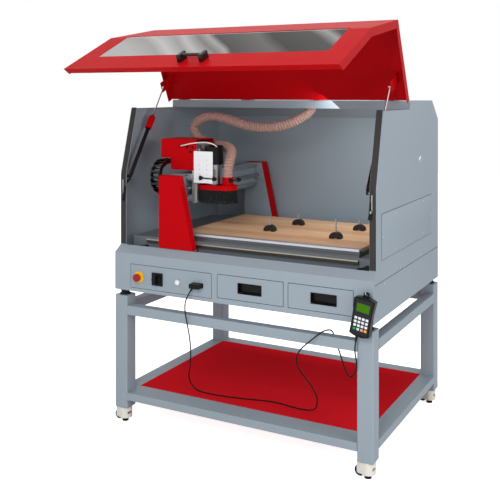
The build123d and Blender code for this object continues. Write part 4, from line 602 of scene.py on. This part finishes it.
for start, toward, reach in (((-304, 176, 1326), (1, 0.0, -0.03), 0.10),
                             ((-120, 176, 1320), (1, 0.0, 0.14), 0.065)):
    screw_head(clamp_knobs, place(*start), toward, 0.004, reach)
    for along in (0.0, reach - knob_width):
        spot = place(*start) + Vector(toward).normalized() * along
        screw_head(clamp_knobs, spot, toward, 0.013, knob_width)
mesh_piece("clamp_knobs", clamp_knobs, black_plastic, "spindle_slide", smooth=40)

# The dust brush: dense rows of black nylon bristles set round the shoe, a little uneven below.
random.seed(7)
brush_low, brush_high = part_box("dust_brush")
bristle_black = finish("bristle_black", grained, {"Colour": linear(7, 7, 8), "Drift": 0.3, "Grain": 300.0,
                                                  "Roughness": 0.5}, Specular_IOR_Level=0.3)
bristles = bmesh.new()
end_radius = (brush_high.y - brush_low.y) / 2
straight = (brush_high.x - brush_low.x) / 2 - end_radius
brush_middle = (brush_low + brush_high) / 2
for row in range(4):
    radius = end_radius - 0.0015 - 0.003 * row
    around = 4 * straight + 2 * pi * radius
    count = int(around / 0.0034)
    for number in range(count):
        along = (number + random.uniform(-0.3, 0.3)) / count * around
        if along < 2 * straight:
            foot = Vector((along - straight, -radius, 0))
            out_from = Vector((0, -1, 0))
        elif along < 2 * straight + pi * radius:
            turn = (along - 2 * straight) / radius - pi / 2
            foot = Vector((straight + radius * cos(turn), radius * sin(turn), 0))
            out_from = Vector((cos(turn), sin(turn), 0))
        elif along < 4 * straight + pi * radius:
            foot = Vector((straight - (along - 2 * straight - pi * radius), radius, 0))
            out_from = Vector((0, 1, 0))
        else:
            turn = (along - 4 * straight - pi * radius) / radius + pi / 2
            foot = Vector((-straight + radius * cos(turn), radius * sin(turn), 0))
            out_from = Vector((cos(turn), sin(turn), 0))
        foot += Vector((brush_middle.x, brush_middle.y, brush_high.z))
        lean = out_from * random.uniform(-0.003, 0.006) + Vector((random.uniform(-0.004, 0.004),
                                                                  random.uniform(-0.004, 0.004), 0))
        tip = foot + lean - Vector((0, 0, brush_high.z - brush_low.z - random.uniform(0, 0.007)))
        width = 0.0012
        ring = [bristles.verts.new(foot + Vector((width * cos(a), width * sin(a), 0)))
                for a in (0, 2 * pi / 3, 4 * pi / 3)]
        point = [bristles.verts.new(tip + Vector((width * 0.6 * cos(a), width * 0.6 * sin(a), 0)))
                 for a in (0, 2 * pi / 3, 4 * pi / 3)]
        for k in range(3):
            bristles.faces.new((ring[k], ring[(k + 1) % 3], point[(k + 1) % 3], point[k]))
        bristles.faces.new(point)
brush = mesh_piece("brush_bristles", bristles, bristle_black, "spindle_slide")
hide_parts("dust_brush")

# The dust hose: clear copper-tinted sleeve over a wire spiral, from the shoe up through the roof.
hose_points = [(-172, 250, 1306), (-172, 250, 1392), (-188, 332, 1466), (-290, 418, 1486), (-415, 440, 1490),
               (-500, 448, 1535), (-515, 452, 1605), (-440, 458, 1650), (-320, 475, 1640), (-190, 490, 1595),
               (-60, 510, 1585), (60, 550, 1610), (130, 610, 1660), (150, 645, 1700), (150, 645, 1738)]


def rounded(points, times):
    """A line through the points with its corners cut again and again until it is smooth."""
    line = [place(*point) for point in points]
    for _ in range(times):
        cut = [line[0]]
        for start, end in zip(line, line[1:]):
            cut += [start.lerp(end, 0.25), start.lerp(end, 0.75)]
        line = cut + [line[-1]]
    return line


def even_steps(line, step):
    """Points and directions at equal steps along a line."""
    points, turned, left = [line[0]], [(line[1] - line[0]).normalized()], step
    for start, end in zip(line, line[1:]):
        span = (end - start).length
        walked = 0.0
        while span - walked >= left:
            walked += left
            points.append(start.lerp(end, walked / span))
            turned.append((end - start).normalized())
            left = step
        left -= span - walked
    return points, turned


hose_radius = 0.0262
rib_pitch = 0.0150
rib_steps = 10
hose_line, hose_turn = even_steps(rounded(hose_points, 4), rib_pitch / rib_steps)
hose = bmesh.new()
rings = []
side = hose_turn[0].orthogonal().normalized()
for number, (spot, along) in enumerate(zip(hose_line, hose_turn)):
    side = (side - along * side.dot(along)).normalized()
    other = along.cross(side)
    ring = []
    for step in range(28):
        turn = 2 * pi * step / 28
        rib = 0.5 + 0.5 * cos(2 * pi * (number / rib_steps - step / 28))
        radius = hose_radius - 0.0016 + 0.0040 * rib ** 1.5
        ring.append(hose.verts.new(spot + (side * cos(turn) + other * sin(turn)) * radius))
    rings.append(ring)
for ring, after in zip(rings, rings[1:]):
    for step in range(28):
        hose.faces.new((ring[step], ring[(step + 1) % 28], after[(step + 1) % 28], after[step]))
hose_sleeve = finish("hose_sleeve", grained, {"Colour": linear(206, 168, 156), "Drift": 0.05, "Depth": 0.05,
                                              "Roughness": 0.16}, Alpha=0.55)
sleeve = mesh_piece("hose_sleeve", hose, hose_sleeve, "machine")
sleeve.data.shade_smooth()
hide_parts("dust_hose")
copper_wire = finish("copper_wire", ruled, {"Colour": linear(126, 66, 50), "Roughness": 0.3}, metallic=0.7)
wire = bmesh.new()
last = None
side = hose_turn[0].orthogonal().normalized()
for number, (spot, along) in enumerate(zip(hose_line, hose_turn)):
    side = (side - along * side.dot(along)).normalized()
    other = along.cross(side)
    turn = 2 * pi * number / rib_steps
    out_from = side * cos(turn) + other * sin(turn)
    centre = spot + out_from * (hose_radius + 0.0004)
    around = (other * cos(turn) - side * sin(turn)).normalized()
    cross = around.cross(out_from)
    ring = [wire.verts.new(centre + (out_from * cos(a) + cross * sin(a)) * 0.0019)
            for a in (0, pi / 2, pi, 3 * pi / 2)]
    if last:
        for k in range(4):
            wire.faces.new((last[k], last[(k + 1) % 4], ring[(k + 1) % 4], ring[k]))
    last = ring
spiral = mesh_piece("hose_wire", wire, copper_wire, "machine")
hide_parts("dust_hose")

# The hood: one folded sheet in gloss red with a clear window, a black pull handle, two gas struts
# and butt hinges on the roof.
dress(red_coat, "hood_shell", "hood_fittings")


def painted_reflection(name):
    """Clear sheet with soft streaks of the workshop's light painted into its colour: a painted reflection.
    """
    tree, given, out = effect(name, {"Dark": (0.05, 0.05, 0.05, 1), "Pale": (0.7, 0.7, 0.7, 1),
                                     "Roughness": 0.1},
                              {"Color": "Color", "Roughness": "Float", "Normal": "Vector"})
    spot = shader(tree, "TexCoord").outputs["Object"]
    cloud = shader(tree, "TexNoise", Vector=spot, Scale=1.4, Detail=2.0).outputs["Fac"]
    split = shader(tree, "SeparateXYZ", Vector=spot).outputs
    lean = shader(tree, "Math", {"operation": "MULTIPLY_ADD"}, _0=split["Z"], _1=2.2,
                  _2=split["X"]).outputs[0]
    bent = shader(tree, "Math", {"operation": "MULTIPLY_ADD"}, _0=cloud, _1=0.25, _2=lean).outputs[0]
    across = shader(tree, "MapRange", Value=bent, From_Min=4.03, From_Max=5.40).outputs[0]
    ramp = shader(tree, "ValToRGB", Fac=across)
    stops = ((0.10, 0.60), (0.15, 0.92), (0.22, 0.55), (0.26, 0.85), (0.33, 0.30), (0.37, 0.62),
             (0.40, 0.06), (0.58, 0.20), (0.64, 0.04), (0.80, 0.10), (0.86, 0.55), (0.90, 0.08))
    painted_streaks = ramp.color_ramp.elements
    painted_streaks[0].color = (0.80, 0.80, 0.80, 1)
    painted_streaks[1].color = (0.0, 0.0, 0.0, 1)
    for stop, pale in stops:
        painted_streaks.new(stop).color = (pale, pale, pale, 1)
    mixed = shader(tree, "Mix", {"data_type": "RGBA"}, _0=ramp.outputs["Color"], _6=given["Dark"],
                   _7=given["Pale"])
    tree.links.new(mixed.outputs[2], out["Color"])
    rough = shader(tree, "Math", {"operation": "MULTIPLY_ADD"}, _0=cloud, _1=0.05, _2=given["Roughness"])
    tree.links.new(rough.outputs[0], out["Roughness"])
    bump = shader(tree, "Bump", Strength=0.02, Distance=0.001, Height=cloud)
    tree.links.new(bump.outputs[0], out["Normal"])
    return tree


# The window's pale and dark streaks are a painted reflection, not a real one.
clear_sheet = finish("clear_sheet", painted_reflection("painted_reflection"), {"Dark": linear(22, 20, 19),
                                                           "Pale": linear(188, 186, 184),
                                                           "Roughness": 0.08}, Alpha=0.96,
                     Specular_IOR_Level=0.05)
dress(clear_sheet, "hood_window")
gloss_black = finish("gloss_black", grained, {"Colour": linear(14, 14, 16), "Grain": 900.0, "Depth": 0.05,
                                              "Roughness": 0.22})
dress(gloss_black, "hood_handle", "strut_cylinder_left", "strut_cylinder_right")
chromed = finish("chromed", ruled, {"Colour": linear(225, 226, 228), "Roughness": 0.12, "Depth": 0.05},
                 metallic=1.0)
dress(chromed, "strut_rod_left", "strut_rod_right")

# At each strut's foot a plated angle and a black guard strip are bolted to the wall, and a red
# clamp collar is fixed round the top of the left strut's cylinder.
for side, hand in ((-1, "left"), (1, "right")):
    angle = bmesh.new()
    for (y0, y1), (z0, z1) in (((46, 78), (1306, 1336)), ((40, 50), (1230, 1310)), ((22, 50), (1226, 1236))):
        block(angle, place(side * 716, y0, z0), place(side * 711, y1, z1))
    soften(angle, 0.001)
    mesh_piece("strut_angle_" + hand, angle, zinc, "machine", smooth=40)
    guard_points = [(side * 706, y, z) for y, z in ((62, 1300), (48, 1258), (42, 1224), (30, 1196))]
    guard = route("strut_guard_" + hand, guard_points, 0.008)
    guard.data.materials.append(black_rubber)
    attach(guard, "machine")
strut_turn = Matrix.Translation(place(-685, 236, 1582)) @ Matrix.Rotation(radians(-33.4), 4, "X")
collar_section = ((0.0125, 0.0), (0.019, 0.0), (0.019, 0.075), (0.0125, 0.075))
collar_sides = 24
collar = bmesh.new()
around = []
for k in range(collar_sides):
    turn = 2 * pi * k / collar_sides
    around.append([collar.verts.new((radius * cos(turn), radius * sin(turn), height))
                   for radius, height in collar_section])
for k in range(collar_sides):
    after = around[(k + 1) % collar_sides]
    for edge in range(4):
        following = (edge + 1) % 4
        collar.faces.new((around[k][edge], after[edge], after[following], around[k][following]))
collar.transform(strut_turn)
mesh_piece("strut_collar", collar, red_coat, "strut_cylinder_left", smooth=40)

# Pairs of bright screws hold the hood's hinge leaves, close to the roof's front edge.
hinge_screws = bmesh.new()
lifted = radians(-65)
pin_depth, pin_height = 560, 1745.5
screw_depth, screw_height = -27.0, -3.5
for middle in (-660, -223, 201, 638):
    for off in (-19.5, 19.5):
        spot = place(middle + off, pin_depth + screw_depth * cos(lifted) - screw_height * sin(lifted),
                     pin_height + screw_depth * sin(lifted) + screw_height * cos(lifted))
        screw_head(hinge_screws, spot, (0, sin(lifted), -cos(lifted)), 0.005, 0.004)
mesh_piece("hinge_screws", hinge_screws, zinc, "hood", smooth=40)

# The studio: a white floor that keeps a faint shadow, a white world and five soft lamps, one of them
# inside the enclosure, under its roof.
floor_mesh = bpy.data.meshes.new("floor")
shape = bmesh.new()
bmesh.ops.create_circle(shape, cap_ends=True, radius=14, segments=64)
shape.to_mesh(floor_mesh)
shape.free()
floor = bpy.data.objects.new("floor", floor_mesh)
bpy.context.scene.collection.objects.link(floor)
studio_white = bpy.data.materials.new("studio_white")
studio_white.use_nodes = True
tree = studio_white.node_tree
white_floor = tree.nodes["Principled BSDF"]
white_floor.inputs["Base Color"].default_value = (0.86, 0.86, 0.86, 1)
white_floor.inputs["Roughness"].default_value = 0.95
white_floor.inputs["Specular IOR Level"].default_value = 0.0
white_floor.inputs["Emission Color"].default_value = (1, 1, 1, 1)
eye = tree.nodes.new("ShaderNodeLightPath").outputs["Is Camera Ray"]
lift = shader(tree, "MapRange", Value=eye, To_Min=0.0, To_Max=0.85).outputs[0]
tree.links.new(lift, white_floor.inputs["Emission Strength"])
floor.data.materials.append(studio_white)

world = bpy.data.worlds.new("studio")
bpy.context.scene.world = world
world.use_nodes = True
tree = world.node_tree
paths = tree.nodes.new("ShaderNodeLightPath")
seen = shader(tree, "Math", {"operation": "MAXIMUM"}, _0=paths.outputs["Is Camera Ray"],
              _1=paths.outputs["Is Glossy Ray"]).outputs[0]
seen = shader(tree, "Math", {"operation": "MAXIMUM"}, _0=seen,
              _1=paths.outputs["Is Transmission Ray"]).outputs[0]
strength = shader(tree, "MapRange", Value=seen, To_Min=0.5, To_Max=1.0).outputs[0]
tree.nodes["Background"].inputs["Color"].default_value = (1, 1, 1, 1)
tree.links.new(strength, tree.nodes["Background"].inputs["Strength"])


def lamp(name, spot, target, size, power):
    """A square soft lamp that points at a place on the machine."""
    light = bpy.data.lights.new(name, "AREA")
    light.size = size
    light.energy = power
    made = bpy.data.objects.new(name, light)
    made.visible_camera = False
    made.visible_glossy = False
    made.location = spot
    made.rotation_euler = (Vector(target) - Vector(spot)).to_track_quat("-Z", "Y").to_euler()
    bpy.context.scene.collection.objects.link(made)


lamp("key_lamp", (0.4, -5.2, 1.7), (0, 0, 1.15), 1.8, 36)
lamp("high_lamp", (0.9, -4.0, 3.2), (0, 0.5, 1.05), 1.6, 82)
lamp("inner_lamp", (0.48, 0.25, 1.60), (0.05, 0.45, 1.1), 0.5, 2.6)
lamp("fill_lamp", (4.6, -1.2, 1.8), (0, 0, 0.9), 2.0, 60)
lamp("top_lamp", (0.2, 1.2, 4.6), (0, 0.2, 1), 3.0, 60)
